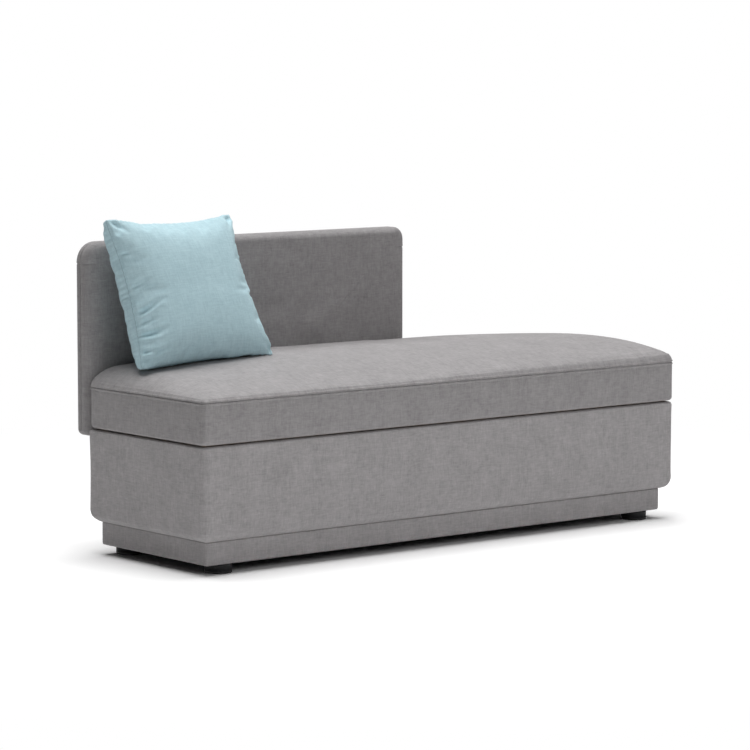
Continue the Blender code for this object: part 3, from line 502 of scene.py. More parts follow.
# Base cover: grey cloth over wadding, drawn tight round the plywood box and stapled under its rolled edge.
# The padding swells it a little between its edges, and it lies flat along them.
BASE_LOW, BASE_TOP, BASE_ROLL, EDGE_ROUND = 0.0780, 0.3038, 0.032, 0.009
BASE_WADDING, BASE_HEM_TOP, BASE_HEM_LOW = 0.0105, 0.0289, 0.060
CORNER, BACK_CORNER = 0.017, 0.004
PADDING_PRESSURE, BASE_SWELL, BASE_UNEVEN = 3.0, 0.0015, 0.0007


def level(inset, z):
    return outline(inset, z, max(CORNER - inset, SHARP), max(BACK_CORNER - inset, SHARP))


def move_out(piece, rows, count, amount):
    """Move the points of some rings along their normals by amount(point, normal)."""
    mesh = piece.data
    normals = [v.normal.copy() for v in mesh.vertices]
    for j in rows:
        for k in range(count):
            vertex = mesh.vertices[j * count + k]
            vertex.co += normals[j * count + k] * amount(vertex.co, k)
    mesh.update()


def uneven(point, scale, seed):
    return noise.noise(Vector(point) * scale + Vector((seed, 2.3 * seed, 0.7 * seed)))


def swell(piece, sewn, pressure, cap, stretch=0.0, frames=12):
    """Blow a cover out with the pressure of its padding, held where it is sewn, by no more than cap."""
    mesh, scene = piece.data, bpy.context.scene
    rest = np.array([v.co for v in mesh.vertices])
    group = piece.vertex_groups.new(name="sewn")
    group.add([int(i) for i in sewn], 1.0, "REPLACE")
    padding = piece.modifiers.new("padding", "CLOTH")
    padding.settings.vertex_group_mass = "sewn"
    padding.settings.use_pressure = True
    padding.settings.uniform_pressure_force = pressure
    padding.settings.effector_weights.gravity = 0
    padding.settings.shrink_min = -stretch
    padding.settings.tension_stiffness = padding.settings.compression_stiffness = 25
    padding.settings.bending_stiffness = 2.0
    padding.collision_settings.use_collision = False
    padding.point_cache.frame_end = frames
    for f in range(1, frames + 1):
        scene.frame_set(f)
    blown = piece.evaluated_get(bpy.context.evaluated_depsgraph_get()).to_mesh()
    moved = np.array([v.co for v in blown.vertices]) - rest
    piece.modifiers.remove(padding)
    piece.vertex_groups.clear()
    scene.frame_set(1)
    far = np.linalg.norm(moved, axis=1, keepdims=True)
    moved *= cap * np.tanh(far / cap) / np.maximum(far, 1e-9)
    mesh.vertices.foreach_set("co", (rest + moved).astype(np.float32).ravel())
    mesh.update()


roll_z, rim_z = BASE_LOW + BASE_ROLL, BASE_TOP - EDGE_ROUND
section = [(BASE_HEM_TOP, BASE_TOP), (0.018, BASE_TOP)]
section += eased(EDGE_ROUND, rim_z, EDGE_ROUND, 90, 0, 8)
face_first = len(section) - 1
section += [(0.0, z) for z in np.linspace(rim_z, roll_z, 17)[1:-1]]
face_last = len(section)
section += eased(BASE_ROLL, roll_z, BASE_ROLL, 0, -90, 12) + [(BASE_HEM_LOW, BASE_LOW)]
section += [(BASE_HEM_LOW, BASE_LOW + CLOTH), (BASE_ROLL, BASE_LOW + CLOTH)]
section += eased(BASE_ROLL, roll_z, BASE_ROLL - BASE_WADDING, -66, 0, 5)
section += [(BASE_WADDING, rim_z), (BASE_WADDING, BASE_TOP - CLOTH), (BASE_HEM_TOP, BASE_TOP - CLOTH)]
rings = [level(inset, z) for inset, z in section]
RING = len(rings[0])
# The base cover uses the copy of the grey cloth that is painted paler as painted light.
base_cover = loft("base_padded_cover", rings, grey_cloth_painted_light, loop=True)
rows = np.arange(len(rings) * RING).reshape(len(rings), RING)
held = np.concatenate([rows[:face_first + 1].ravel(), rows[face_last + 4:].ravel()])
swell(base_cover, held, PADDING_PRESSURE, BASE_SWELL)
move_out(base_cover, range(face_first, face_last + 8), RING, lambda p, k: BASE_UNEVEN * uneven(p, 7.0, 3.1))
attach(base_cover, "sofa")
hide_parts("base_cover", "base_wadding")

# Seat underlining and webbing: a black felted sheet closes the seat's frame below, and six elastic
# webbing straps, stapled at both ends, are stretched over the rails under the foam.
UNDER_IN, UNDER_Z = 0.0285, 0.3052
lining_edge = outline(UNDER_IN, 0.0, SHARP, SHARP)
underlining = sagging_sheet("seat_lining", lining_edge, UNDER_Z, DUST_THICK, 0.0, black_felt,
                            *sheet_ridge)
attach(underlining, "sofa")
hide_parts("seat_underlining")
webbing = cloth("elastic_webbing", (0.045, 0.046, 0.050, 1), (0.150, 0.150, 0.155, 1), 300.0, 0.8, 0.6, 0.0)
STRAP_STEPS, STRAP_SAG, STRAP_EDGE = 24, 0.0015, 0.0008
for k in range(1, 7):
    low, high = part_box(f"seat_strap_{k}")
    rings = []
    for share in np.linspace(0, 1, STRAP_STEPS + 1):
        y = low.y + (high.y - low.y) * share
        z = low.z - STRAP_SAG * math.sin(math.pi * share)
        top = z + high.z - low.z
        left, right = low.x + STRAP_EDGE, high.x - STRAP_EDGE
        under, over = z + STRAP_EDGE, top - STRAP_EDGE
        rings.append(np.array([(low.x, y, under), (left, y, z), (right, y, z), (high.x, y, under),
                               (high.x, y, over), (right, y, top), (left, y, top), (low.x, y, over)]))
    strap = loft(f"webbing_strap_{k}", rings, webbing, flat=(0, 1), flat_from=0)
    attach(strap, "sofa")
    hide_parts(f"seat_strap_{k}")

# Seat: foam on the webbed frame in a cover sewn from a side band and a crowned top piece.
# The seam between them has its allowances turned both ways and sewn down, so two low ridges flank it.
SEAT_LOW, SEAM_Z, SEAT_TOP = 0.3041, 0.4061, 0.4701
FOAM_LOW, FOAM_IN, SEAT_HEM, SEAT_BACK_CORNER = 0.3590, 0.0023, 0.028, 0.018
SEAT_RISE, EDGE_ROLL, EDGE_ROLL_END, EVEN_ROLL_LENGTH, SEAM_FLARE = 0.064, 0.012, 0.026, 0.600, 0.0025
SEAT_SLOT, SLOT_LIP, SLOT_LIP_WIDE = 0.0030, 0.0018, 0.0030
CORNER_JOIN, CORNER_JOIN_DEEP = 5, 0.0012
STITCH, STITCH_PITCH, STITCH_OFF, STITCH_ROUND, STITCH_SIDES = 0.0050, 0.0072, 0.0046, 0.0004, 6
STITCH_AHEAD = 0.001
DOME_FROM_FRONT, DOME_FROM_LEFT, DOME_STEEP_LEFT, DOME_STEEP_SHARE = 0.300, 0.500, 0.075, 0.57
DOME_FROM_BACK, BACK_DROP_LENGTH = 0.037, 0.150
SEAM_GROOVE, SEAM_GROOVE_HALF, SEAM_RIDGE, RIDGE_OFF, RIDGE_HALF = 0.0016, 0.0009, 0.0017, 0.0036, 0.0019
SEAT_SWELL, BAND_UNEVEN, TOP_UNEVEN, SEAM_WANDER = 0.0018, 0.0007, 0.0010, 0.0004
RIDGE_LEFT, RIDGE_RIGHT, RIDGE_V = 0.520, 0.930, 0.310
seat_ridge = [Vector((u - LENGTH / 2, RIDGE_V - DEPTH / 2, 0)) for u in (RIDGE_LEFT, RIDGE_RIGHT)]


def seam_relief(dz):
    """How far the cover stands out at a height dz from the seam."""
    return (SEAM_RIDGE * math.exp(-((abs(dz) - RIDGE_OFF) / RIDGE_HALF) ** 2)
            - SEAM_GROOVE * math.exp(-(dz / SEAM_GROOVE_HALF) ** 2))


def seat_level(inset, z):
    return outline(inset, z, max(CORNER - inset, SHARP), max(SEAT_BACK_CORNER - inset, SHARP))


def rise(away, reach):
    return 1 - np.maximum(1 - away / reach, 0) ** 2


def dome(ring):
    """Share of the soft top's rise over the points of a ring. It climbs from the front and, first steeply,
    from the left; it stays up against the panel and drops only towards the curved end."""
    u, v = ring[:, 0] + LENGTH / 2, ring[:, 1] + DEPTH / 2
    outward = np.hypot(np.maximum(u - SWEEP_CENTRE, 0) / SWEEP_LENGTH,
                       np.maximum(v - SWEEP_START, 0) / SWEEP_DEPTH)
    left = DOME_STEEP_SHARE * rise(u, DOME_STEEP_LEFT) + (1 - DOME_STEEP_SHARE) * rise(u, DOME_FROM_LEFT)
    dropped = np.clip((u - SWEEP_CENTRE) / BACK_DROP_LENGTH + 1, 0, 1)
    back = 1 - dropped * (1 - rise(SWEEP_DEPTH * (1 - outward), DOME_FROM_BACK))
    return left * rise(v, DOME_FROM_FRONT) * back


def corner_join(k):
    """How far the band stands out beside the upright join at its front left corner."""
    return {0: -CORNER_JOIN_DEEP, 1: 0.3 * CORNER_JOIN_DEEP}.get(abs(k - CORNER_JOIN), 0.0)


def lay_cloth(piece, spots):
    """Give a piece its cloth map, from each point's place on the cloth in metres."""
    layer = piece.data.uv_layers.new(name="cloth")
    corners = [spots[corner.vertex_index] for corner in piece.data.loops]
    layer.uv.foreach_set("vector", np.array(corners, np.float32).ravel())


def stitches(name, path, outward, finish):
    """Row of sewn stitches along a closed path of points, sunk by half into the cloth that faces outward."""
    loop, reach = measured(path)
    facing = np.vstack([outward, outward[:1]])
    points, faces, spots = [], [], []
    for s in np.arange(0, reach[-1] - STITCH, STITCH_PITCH):
        first = len(points)
        for part, thick in ((0.0, 0.4), (0.15, 1.0), (0.85, 1.0), (1.0, 0.4)):
            q = s + STITCH * part
            spot, out = (place_at(line, reach, q) for line in (loop, facing))
            ahead = place_at(loop, reach, q + STITCH_AHEAD) - spot
            out = out / np.linalg.norm(out)
            beside = np.cross(out, ahead / np.linalg.norm(ahead))
            for turn in range(STITCH_SIDES):
                angle = 2 * math.pi * turn / STITCH_SIDES
                around = out * math.cos(angle) + beside * math.sin(angle)
                points.append(spot + STITCH_ROUND * thick * around)
                spots.append((q, STITCH_ROUND * turn))
        for row in range(3):
            for turn in range(STITCH_SIDES):
                a, b = (first + row * STITCH_SIDES + t for t in (turn, (turn + 1) % STITCH_SIDES))
                faces.append((a, a + STITCH_SIDES, b + STITCH_SIDES, b))
        faces.append(tuple(first + turn for turn in range(STITCH_SIDES)))
        faces.append(tuple(first + 4 * STITCH_SIDES - 1 - turn for turn in range(STITCH_SIDES)))
    row_piece = new_piece(name, points, faces, finish)
    lay_cloth(row_piece, spots)
    return row_piece


bottom = SEAT_LOW + SEAT_SLOT
rim_z = bottom + EDGE_ROUND
section = [(FOAM_IN, FOAM_LOW)]
section += eased(EDGE_ROUND, rim_z, EDGE_ROUND - FOAM_IN, 0, -90, 4) + [(SEAT_HEM, bottom + CLOTH)]
section += [(SEAT_HEM, bottom - SLOT_LIP), (SEAT_HEM - SLOT_LIP_WIDE, bottom - SLOT_LIP),
            (SEAT_HEM - SLOT_LIP_WIDE, bottom)]
section += eased(EDGE_ROUND, rim_z, EDGE_ROUND, -90, 0, 8)
band_first = len(section) - 1
section += [(0.0, z) for z in np.linspace(rim_z, SEAM_Z - 0.014, 9)[1:]]
band_last = len(section)
section += [(0.0, SEAM_Z + dz) for dz in np.linspace(-0.0115, 0.0, 18)]
seam_row = len(section) - 1
section += [(0.0, SEAM_Z + dz) for dz in (0.0007, 0.0014, 0.0020)]
seam_last = len(section) + 12
rings = [seat_level(inset, z) for inset, z in section]
edge, inner = (seat_level(inset, SEAM_Z + SEAM_FLARE) for inset in (0.0, EDGE_ROLL_END))
beyond = np.maximum(edge[:, 0] + LENGTH / 2 - EVEN_ROLL_LENGTH, 0) / (LENGTH - EVEN_ROLL_LENGTH)
rolls = EDGE_ROLL + (EDGE_ROLL_END - EDGE_ROLL) * beyond
turns = [np.arcsin(np.linspace(0, 0.8, 13)), np.linspace(math.asin(0.8), math.pi / 2, 8)[1:]]
for turn in np.concatenate(turns):
    ring = edge + (inner - edge) * (rolls * (1 - math.cos(turn)) / EDGE_ROLL_END)[:, None]
    ring[:, 2] += (rolls - SEAM_FLARE) * math.sin(turn)
    rings.append(ring)
heart = np.array([nearest_ridge(p, *seat_ridge) for p in rings[-1]])
heart[:, 2] = rings[-1][:, 2]
rings += [rings[-1] + (heart - rings[-1]) * 0.97 * share ** 1.6 for share in np.linspace(0, 1, 30)[1:]]
for ring in rings[seam_row + 1:]:
    ring[:, 2] += (SEAT_RISE - rolls) * dome(ring)
seat_cover = loft("seat_padded_cover", rings, grey_cloth, flat=(0, 1), flat_from=seam_row)
rows = np.arange(len(rings) * RING).reshape(len(rings), RING)
held = np.concatenate([rows[:band_first + 1].ravel(), rows[band_last:seam_last].ravel()])
swell(seat_cover, held, PADDING_PRESSURE, SEAT_SWELL)
move_out(seat_cover, range(band_first, band_last + 2), RING,
         lambda p, k: BAND_UNEVEN * uneven(p, 9.0, 5.2) + corner_join(k))
move_out(seat_cover, range(band_last, seam_last), RING,
         lambda p, k: seam_relief(p.z - SEAM_Z - SEAM_WANDER * uneven(p, 16.0, 1.4)))
move_out(seat_cover, range(seam_last, len(rings)), RING, lambda p, k: TOP_UNEVEN * uneven(p, 6.0, 8.3))
grey_thread = cloth("grey_thread", (0.330, 0.322, 0.324, 1), (0.520, 0.508, 0.512, 1), 900.0, 0.8, 0.20, 0.05)
covered = np.array([v.co for v in seat_cover.data.vertices]).reshape(len(rings), RING, 3)
facing = np.array([v.normal for v in seat_cover.data.vertices]).reshape(len(rings), RING, 3)
for name, z in (("seat_stitches_low", SEAM_Z - STITCH_OFF), ("seat_stitches_high", SEAM_Z + STITCH_OFF)):
    row = min(range(band_last, seam_last), key=lambda j: abs(covered[j, :, 2].mean() - z))
    sewn_row = stitches(name, covered[row], facing[row], grey_thread)
    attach(sewn_row, "sofa")
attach(seat_cover, "sofa")
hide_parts("seat_side_band", "seat_top_cover", "seat_foam")

# Back panel: plywood board padded with foam in front and behind, in a cover of two halves.
# The halves meet in a plain seam round the middle of the edge; a short join crosses the left end.
PANEL_LENGTH, PANEL_LOW, PANEL_TOP = 0.991, 0.2851, 0.7516
PANEL_FACE, PANEL_THICK = 0.4653, 0.056
LEFT_CORNER, RIGHT_CORNER, LOW_CORNER = 0.048, 0.032, 0.015
FRONT_PAD, FRONT_EDGE, FRONT_END, BACK_EDGE = 0.022, 0.018, 0.050, 0.016
BOARD_FRONT, BOARD_BACK, PANEL_SEAM = 0.4876, 0.5056, 0.4966
PANEL_SWELL, PANEL_UNEVEN, SEAM_OPEN, BOARD_CLEAR = 0.0015, 0.0006, 0.0002, 0.0004
DART_Z, DART_LONG, DART_DEEP, DART_HALF = 0.6990, 0.040, 0.0013, 0.0016
DART_ROWS = [DART_Z + 0.0006 * k for k in range(7, -9, -1)]


def panel_ring(end, edge, v):
    """Outline of the panel at depth v, moved in by end at its ends and by edge above and below."""
    drawn = (end + edge) / 2
    lower, left_corner, right_corner = (max(r - drawn, SHARP)
                                        for r in (LOW_CORNER, LEFT_CORNER, RIGHT_CORNER))
    left, right, low, high = end, PANEL_LENGTH - end, PANEL_LOW + edge, PANEL_TOP - edge

    top_row = min(DART_ROWS[0], high - left_corner - 0.001)
    upright = np.array(DART_ROWS + list(np.linspace(DART_ROWS[-1], PANEL_LOW + LOW_CORNER, 27)[1:]))
    upright = np.interp(upright, (upright[-1], DART_ROWS[0]), (low + lower, top_row)).tolist()
    along = np.linspace(0, 1, 73)[:-1]
    plan = bend(left + lower, low + lower, lower, 180)
    plan += [(left + lower + (right - left - 2 * lower) * s, low) for s in along]
    plan += bend(right - lower, low + lower, lower, 270)
    plan += [(right, z) for z in reversed(upright)]
    plan += bend(right - right_corner, high - right_corner, right_corner, 0)
    plan += [(right - right_corner + (left + left_corner - right + right_corner) * s, high) for s in along]
    plan += bend(left + left_corner, high - left_corner, left_corner, 90)
    plan += [(left, high - left_corner)] + [(left, z) for z in upright[:-1]]
    return np.array([(u - LENGTH / 2, v - DEPTH / 2, z) for u, z in plan])


def dart(p):
    """Short level seam, sewn across each end of the panel just below its upper corners."""
    from_end = min(p.x + LENGTH / 2, PANEL_LENGTH - p.x - LENGTH / 2)
    fades = max(0.0, 1 - max(from_end, 0.0) / DART_LONG) ** 0.5
    drop = (p.z - DART_Z) / DART_HALF
    return fades * DART_DEEP * (0.45 * math.exp(-(drop - 2.2) ** 2) - math.exp(-drop ** 2))


def panel_half(name, seam_v, board_v, face_v, pad, edge, end):
    inward = 1 if seam_v > face_v else -1
    body = [(FOAM_IN, FOAM_IN, board_v), (FOAM_IN, FOAM_IN, seam_v), (0.0014, 0.0014, seam_v),
            (0.0002, 0.0002, seam_v - inward * 0.0018)]
    for turn in np.linspace(0, math.pi / 2, 17):
        flat = 1 - math.cos(turn)
        body.append((end * flat, edge * flat, face_v + inward * pad * (1 - math.sin(turn))))
    rounded = len(body)
    body += [(end + s, edge + s, face_v) for s in np.linspace(0, 0.205, 14)[1:]]
    rings = [panel_ring(*spot) for spot in body]
    count = len(rings[0])
    # The panel's halves use the copy of the grey cloth that is painted darker as painted shade.
    half = loft(name, rings if inward < 0 else [ring[::-1] for ring in rings], grey_cloth_painted_shade,
                flat=(0, 2), flat_from=12)
    rows = np.arange(len(rings) * count).reshape(len(rings), count)
    swell(half, rows[:rounded + 1].ravel(), PADDING_PRESSURE, PANEL_SWELL)
    move_out(half, range(rounded - 3, len(rings)), count, lambda p, k: PANEL_UNEVEN * uneven(p, 8.0, 6.6))
    move_out(half, range(4, rounded), count, lambda p, k: dart(p))
    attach(half, "sofa")
    return half


panel_front = panel_half("panel_front_padded", PANEL_SEAM - SEAM_OPEN, BOARD_FRONT - BOARD_CLEAR,
                         PANEL_FACE, FRONT_PAD, FRONT_EDGE, FRONT_END)
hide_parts("panel_front_cover", "panel_front_foam")
panel_back = panel_half("panel_back_padded", PANEL_SEAM + SEAM_OPEN, BOARD_BACK + BOARD_CLEAR,
                        PANEL_FACE + PANEL_THICK, BACK_EDGE, BACK_EDGE, BACK_EDGE)
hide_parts("panel_back_cover", "panel_back_foam")

# Pillow: a loose blue linen cushion with a fibre filling, two panels sewn round the rim.
# It leans in the left corner, dents where it meets the seat and the panel, and puckers along the seam.
PILLOW_WIDTH, PILLOW_TAPER, PILLOW_HEIGHT = 0.403, 0.070, 0.370
PILLOW_FRONT, PILLOW_BACK, PILLOW_DRAWN_IN = 0.062, 0.115, 0.085
PILLOW_AT = Vector((0.2321 - LENGTH / 2, 0.297 - DEPTH / 2, SEAT_TOP))
PILLOW_YAW, PILLOW_LEAN, PILLOW_SHIFT, PILLOW_SUNK = math.radians(1.0), math.radians(16.5), -0.042, 0.012
PILLOW_ACROSS, PILLOW_UP = 80, 76
PILLOW_CLEAR, PILLOW_ROUND, PILLOW_FULL_FRONT, PILLOW_FULL_BACK = 0.0012, 0.93, 0.44, 0.33
PILLOW_FILLED, PILLOW_HEAVY, WALL_CLEAR = 0.94, 0.28, 0.0008
CREASE_DEEPER, CREASE_WAVE, CREASE_WAVES, CREASE_START = 1.7, 0.004, 55, 0.006
RIM_DEEP, RIM_HALF, PUCKER, PUCKER_PITCH, PUCKER_REACH = 0.0028, 0.0026, 0.0011, 0.0150, 0.016
PILLOW_PRESSURE, PILLOW_SWELL, PILLOW_STRETCH, PILLOW_FRAMES, PILLOW_UNEVEN = 4.0, 0.012, 0.03, 25, 0.0012
# Creases of the front panel: where each starts on the cloth, its way in degrees, length, depth, half width.
CREASES = [
    (-0.200, 0.013, 8, 0.060, 0.0026, 0.0050), (-0.200, -0.048, 14, 0.085, 0.0034, 0.0055),
    (-0.200, -0.074, 2, 0.050, 0.0022, 0.0045), (-0.200, -0.108, 12, 0.075, 0.0036, 0.0055),
    (-0.200, -0.146, 6, 0.060, 0.0024, 0.0042), (-0.200, -0.161, 14, 0.078, 0.0030, 0.0046),
    (-0.196, -0.176, 24, 0.060, 0.0026, 0.0050),
    (-0.200, 0.095, -6, 0.040, 0.0018, 0.0050), (0.198, 0.060, 172, 0.050, 0.0020, 0.0050),
    (0.198, -0.020, 186, 0.045, 0.0018, 0.0045), (0.196, -0.170, 145, 0.060, 0.0020, 0.0070),
    (-0.195, 0.175, -40, 0.050, 0.0028, 0.0060), (0.190, 0.175, 222, 0.055, 0.0030, 0.0060),
    (0.030, -0.184, 88, 0.035, 0.0018, 0.0060), (-0.070, 0.184, -84, 0.030, 0.0014, 0.0060),
]
blue_linen = cloth("blue_linen", (0.485, 0.700, 0.770, 1), (0.660, 0.880, 0.945, 1), 520.0, 0.7, 0.30, 0.10)
pillow_turn = Matrix.Rotation(PILLOW_YAW, 4, "Z") @ Matrix.Rotation(-PILLOW_LEAN, 4, "X")
pillow_frame = (Matrix.Translation(PILLOW_AT) @ pillow_turn
                @ Matrix.Translation((0, 0, PILLOW_HEIGHT / 2 - PILLOW_SUNK)))


def rounded_square(across, up):
    """Place in a square whose corners are drawn round, for a place in the plain square."""
    spare = 1 - PILLOW_ROUND
    a, b = (max(abs(c) - PILLOW_ROUND, 0.0) / spare for c in (across, up))
    if a and b:
        across = math.copysign(PILLOW_ROUND + spare * a * math.sqrt(1 - b * b / 2), across)
        up = math.copysign(PILLOW_ROUND + spare * b * math.sqrt(1 - a * a / 2), up)
    return across, up


def creased(x, z):
    """How far the front panel stands out at a place on the cloth, because of its creases."""
    out = 0.0
    for from_x, from_z, way, length, depth, half in CREASES:
        c, s = math.cos(math.radians(way)), math.sin(math.radians(way))
        along = (x - from_x) * c + (z - from_z) * s
        if 0 < along < length:
            off = (z - from_z) * c - (x - from_x) * s + CREASE_WAVE * math.sin(along * CREASE_WAVES + way)
            fade = CREASE_DEEPER * depth * (1 - along / length) * min(1.0, along / CREASE_START)
            beside = 0.55 * math.exp(-((abs(off) - 2 * half) / half) ** 2)
            out += fade * (beside - math.exp(-(off / half) ** 2))
    return out


def gathered(x, z, point):
    """How far the cloth stands out near the rim, where the seam draws it in and gathers it in puckers."""
    from_side, from_end = PILLOW_WIDTH / 2 - abs(x), PILLOW_HEIGHT / 2 - abs(z)
    away, along = (from_side, z) if from_side < from_end else (from_end, x)
    ripple = math.sin(2 * math.pi * along / PUCKER_PITCH + 5.0 * uneven(point, 18.0, 4.4))
    depth = PUCKER * (0.55 + uneven(point, 9.0, 7.9)) * ripple * math.exp(-away / PUCKER_REACH)
    return depth - RIM_DEEP * math.exp(-(away / RIM_HALF) ** 2)


def pillow_point(i, j, side):
    """Point of the pillow at a column and row of one panel, in the sofa's frame, and its cloth place."""
    spot = (2 * i / PILLOW_ACROSS - 1, 2 * j / PILLOW_UP - 1)
    across, up = rounded_square(*spot)
    taper = 1 - PILLOW_TAPER * (up + 1) / 2
    x = across * PILLOW_WIDTH / 2 * taper * (1 - PILLOW_DRAWN_IN * (1 - up ** 2))
    z = up * PILLOW_HEIGHT / 2 * (1 - PILLOW_DRAWN_IN * (1 - across ** 2) * max(up, 0.0))
    thickness, full = ((-PILLOW_FRONT, PILLOW_FULL_FRONT), (PILLOW_BACK, PILLOW_FULL_BACK))[side]
    fat = PILLOW_FILLED * thickness * max((1 - spot[0] ** 2) * (1 - spot[1] ** 2), 0.0) ** full
    if side == 0:
        fat *= 1 + PILLOW_HEAVY * max(-spot[1], 0.0)
    sway = PILLOW_SHIFT * (z / PILLOW_HEIGHT + 0.5)
    flat = (across * PILLOW_WIDTH / 2, up * PILLOW_HEIGHT / 2)
    return pillow_frame @ Vector((x + sway, fat, z)), flat


seat_shape = BVHTree.FromPolygons([v.co for v in seat_cover.data.vertices],
                                  [p.vertices for p in seat_cover.data.polygons])
wall_y = PANEL_FACE - DEPTH / 2 - PANEL_SWELL - WALL_CLEAR


def settled(p):
    """Keep a point of the pillow above the seat and in front of the panel."""
    below = seat_shape.ray_cast(Vector((p.x, p.y, 1.0)), Vector((0, 0, -1)))[0]
    floor_z = below.z + PILLOW_CLEAR if below else p.z
    return Vector((p.x, min(p.y, wall_y), max(p.z, floor_z)))


points, spots, index, faces = [], [], {}, []
for side in (0, 1):
    for j in range(PILLOW_UP + 1):
        for i in range(PILLOW_ACROSS + 1):
            on_rim = i in (0, PILLOW_ACROSS) or j in (0, PILLOW_UP)
            if side and on_rim:
                index[1, i, j] = index[0, i, j]
                continue
            point, spot = pillow_point(i, j, side)
            index[side, i, j] = len(points)
            points.append(settled(point))
            spots.append(spot)
for side in (0, 1):
    for j in range(PILLOW_UP):
        for i in range(PILLOW_ACROSS):
            quad = [index[side, a, b] for a, b in ((i, j), (i + 1, j), (i + 1, j + 1), (i, j + 1))]
            faces.append(tuple(quad if side == 0 else reversed(quad)))
pillow = new_piece("pillow_padded", points, faces, blue_linen)
lay_cloth(pillow, spots)
rim = [index[0, i, 0] for i in range(PILLOW_ACROSS + 1)]
rim += [index[0, PILLOW_ACROSS, j] for j in range(1, PILLOW_UP + 1)]
rim += [index[0, i, PILLOW_UP] for i in reversed(range(PILLOW_ACROSS))]
rim += [index[0, 0, j] for j in reversed(range(1, PILLOW_UP))]
swell(pillow, rim, PILLOW_PRESSURE, PILLOW_SWELL, PILLOW_STRETCH, PILLOW_FRAMES)
fine = pillow.modifiers.new("fine", "SUBSURF")
fine.levels = fine.render_levels = 1
pillow.data = bpy.data.meshes.new_from_object(pillow.evaluated_get(bpy.context.evaluated_depsgraph_get()))
pillow.modifiers.clear()
cushion = pillow.data
places = {}
for loop, spot in zip(cushion.loops, cushion.uv_layers["cloth"].uv):
    places[loop.vertex_index] = tuple(spot.vector)
front = {v for face in cushion.polygons[:len(cushion.polygons) // 2] for v in face.vertices}
normals = [vertex.normal.copy() for vertex in cushion.vertices]
for vertex, normal in zip(cushion.vertices, normals):
    place = places[vertex.index]
    out = gathered(*place, vertex.co)
    if vertex.index in front:
        out += creased(*place) + PILLOW_UNEVEN * uneven(vertex.co, 14.0, 2.7)
    vertex.co = settled(vertex.co + normal * out)
cushion.update()
SEAM_CORD, CORD_SIDES, CORD_STEP = 0.0010, 6, 0.004
path = [cushion.vertices[k].co.copy() for k in rim]
cord, faces = [], []
for k, spot in enumerate(path):
    ahead = (path[(k + 1) % len(path)] - path[k - 1]).normalized()
    out = normals[rim[k]]
    beside = ahead.cross(out).normalized()
    for turn in range(CORD_SIDES):
        angle = 2 * math.pi * turn / CORD_SIDES
        cord.append(spot + SEAM_CORD * (out * math.cos(angle) + beside * math.sin(angle)))
        after, around = (k + 1) % len(path), (turn + 1) % CORD_SIDES
        faces.append((k * CORD_SIDES + turn, k * CORD_SIDES + around,
                      after * CORD_SIDES + around, after * CORD_SIDES + turn))
# The seam cord's thread is painted darker than the linen, as painted shade along the rim seam.
blue_thread_painted_shade = cloth("blue_thread_painted_shade", (0.375, 0.550, 0.610, 1), (0.520, 0.705, 0.765, 1), 900.0, 0.8, 0.20, 0.05)
pillow_seam = new_piece("pillow_seam_cord", cord, faces, blue_thread_painted_shade)
lay_cloth(pillow_seam, [(CORD_STEP * k, SEAM_CORD * turn)
                        for k in range(len(path)) for turn in range(CORD_SIDES)])
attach(pillow_seam, "pillow")
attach(pillow, "pillow")
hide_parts("pillow_front_cover", "pillow_back_cover", "pillow_filling")

# Floor: a plain pale studio floor that runs out to a white background and keeps the soft shadow.
FLOOR_HALF, FLOOR_FADE_FROM, FLOOR_FADE_TO = 30.0, 1.1, 2.4
FLOOR_PALE, FLOOR_SEEN = (0.90, 0.90, 0.90, 1), (1.30, 1.30, 1.30, 1)


def seen_directly(tree):
    """Socket that is 1 for the rays that show a surface to the camera, also through a gloss or a glass."""
    path = add_node(tree, "ShaderNodeLightPath").outputs
    straight = add_node(tree, "ShaderNodeMath", {0: path["Is Camera Ray"], 1: path["Is Glossy Ray"]},
                        operation="MAXIMUM").outputs[0]
    return add_node(tree, "ShaderNodeMath", {0: straight, 1: path["Is Transmission Ray"]},
                    operation="MAXIMUM").outputs[0]


floor_finish = bpy.data.materials.new("studio_floor")
floor_finish.use_nodes = True
tree = floor_finish.node_tree
tree.nodes.remove(tree.nodes["Principled BSDF"])
seen = seen_directly(tree)
at = add_node(tree, "ShaderNodeTexCoord").outputs["Object"]
away = add_node(tree, "ShaderNodeVectorMath", {0: at}, operation="LENGTH").outputs["Value"]
fade = add_node(tree, "ShaderNodeMapRange",
                {"Value": away, "From Min": FLOOR_FADE_FROM, "From Max": FLOOR_FADE_TO},
                interpolation_type="SMOOTHSTEP").outputs[0]
share = maths(tree, "MULTIPLY", fade, seen)
paint = blended(tree, seen, FLOOR_PALE, FLOOR_SEEN)
matt = add_node(tree, "ShaderNodeBsdfDiffuse", {"Color": paint}).outputs[0]
white = add_node(tree, "ShaderNodeEmission", {"Color": (1, 1, 1, 1), "Strength": 1.0}).outputs[0]
blend = add_node(tree, "ShaderNodeMixShader", {0: share, 1: matt, 2: white})
tree.links.new(blend.outputs[0], tree.nodes["Material Output"].inputs["Surface"])
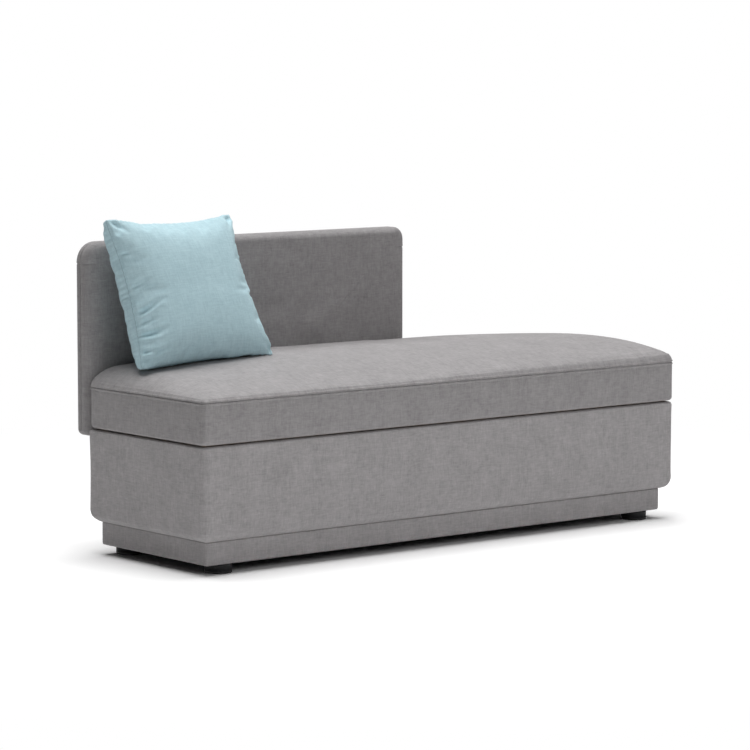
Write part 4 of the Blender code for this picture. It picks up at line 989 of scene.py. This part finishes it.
floor = new_piece("studio_floor", [(-FLOOR_HALF, -FLOOR_HALF, 0), (FLOOR_HALF, -FLOOR_HALF, 0),
                                   (FLOOR_HALF, FLOOR_HALF, 0), (-FLOOR_HALF, FLOOR_HALF, 0)],
                  [(0, 1, 2, 3)], floor_finish, smooth=False)

# Light: a high soft box overhead, two weak ones in front, and an almost dark room.
ROOM = 0.02
world = bpy.data.worlds.new("studio")
bpy.context.scene.world = world
world.use_nodes = True
tree = world.node_tree
level_of = between(tree, seen_directly(tree), ROOM, 1.0)
background = tree.nodes["Background"]
background.inputs["Color"].default_value = (1, 1, 1, 1)
tree.links.new(level_of, background.inputs["Strength"])
LAMPS = {
    "overhead": ((0.0, 0.6, 8.0), (0.0, 0.0, 0.3), 6.5, 690.0),
    "front": ((0.1, -4.2, 2.6), (0.0, 0.0, 0.3), 2.5, 31.0),
    "front_left": ((-3.6, -3.0, 1.6), (0.0, 0.0, 0.3), 2.5, 1.0),
}
for name, (place, aim, size, power) in LAMPS.items():
    lamp = bpy.data.lights.new(name, "AREA")
    lamp.size, lamp.energy = size, power
    holder = bpy.data.objects.new(name, lamp)
    holder.location = place
    holder.rotation_euler = (Vector(aim) - Vector(place)).to_track_quat("-Z", "Y").to_euler()
    bpy.context.scene.collection.objects.link(holder)

# Camera: a long lens, a little above the seat and to the left of the front, as in the photograph.
EYE, EYE_DOWN, EYE_TURN = (-5.2349, -6.41045, 1.2829), 6.0907, 39.0769
SENSOR, LENS, HALF_PIXEL, SEES_TO = 36.0, 160.41, 0.5 / 750, 200.0
camera = bpy.data.cameras.new("camera")
camera.sensor_width, camera.lens, camera.clip_end = SENSOR, LENS, SEES_TO
camera.shift_x, camera.shift_y = -HALF_PIXEL, HALF_PIXEL
eye = bpy.data.objects.new("camera", camera)
eye.location = EYE
eye.rotation_euler = (math.radians(90 - EYE_DOWN), 0.0, math.radians(-EYE_TURN))
bpy.context.scene.collection.objects.link(eye)
bpy.context.scene.camera = eye
bpy.context.scene.view_settings.view_transform = "Standard"
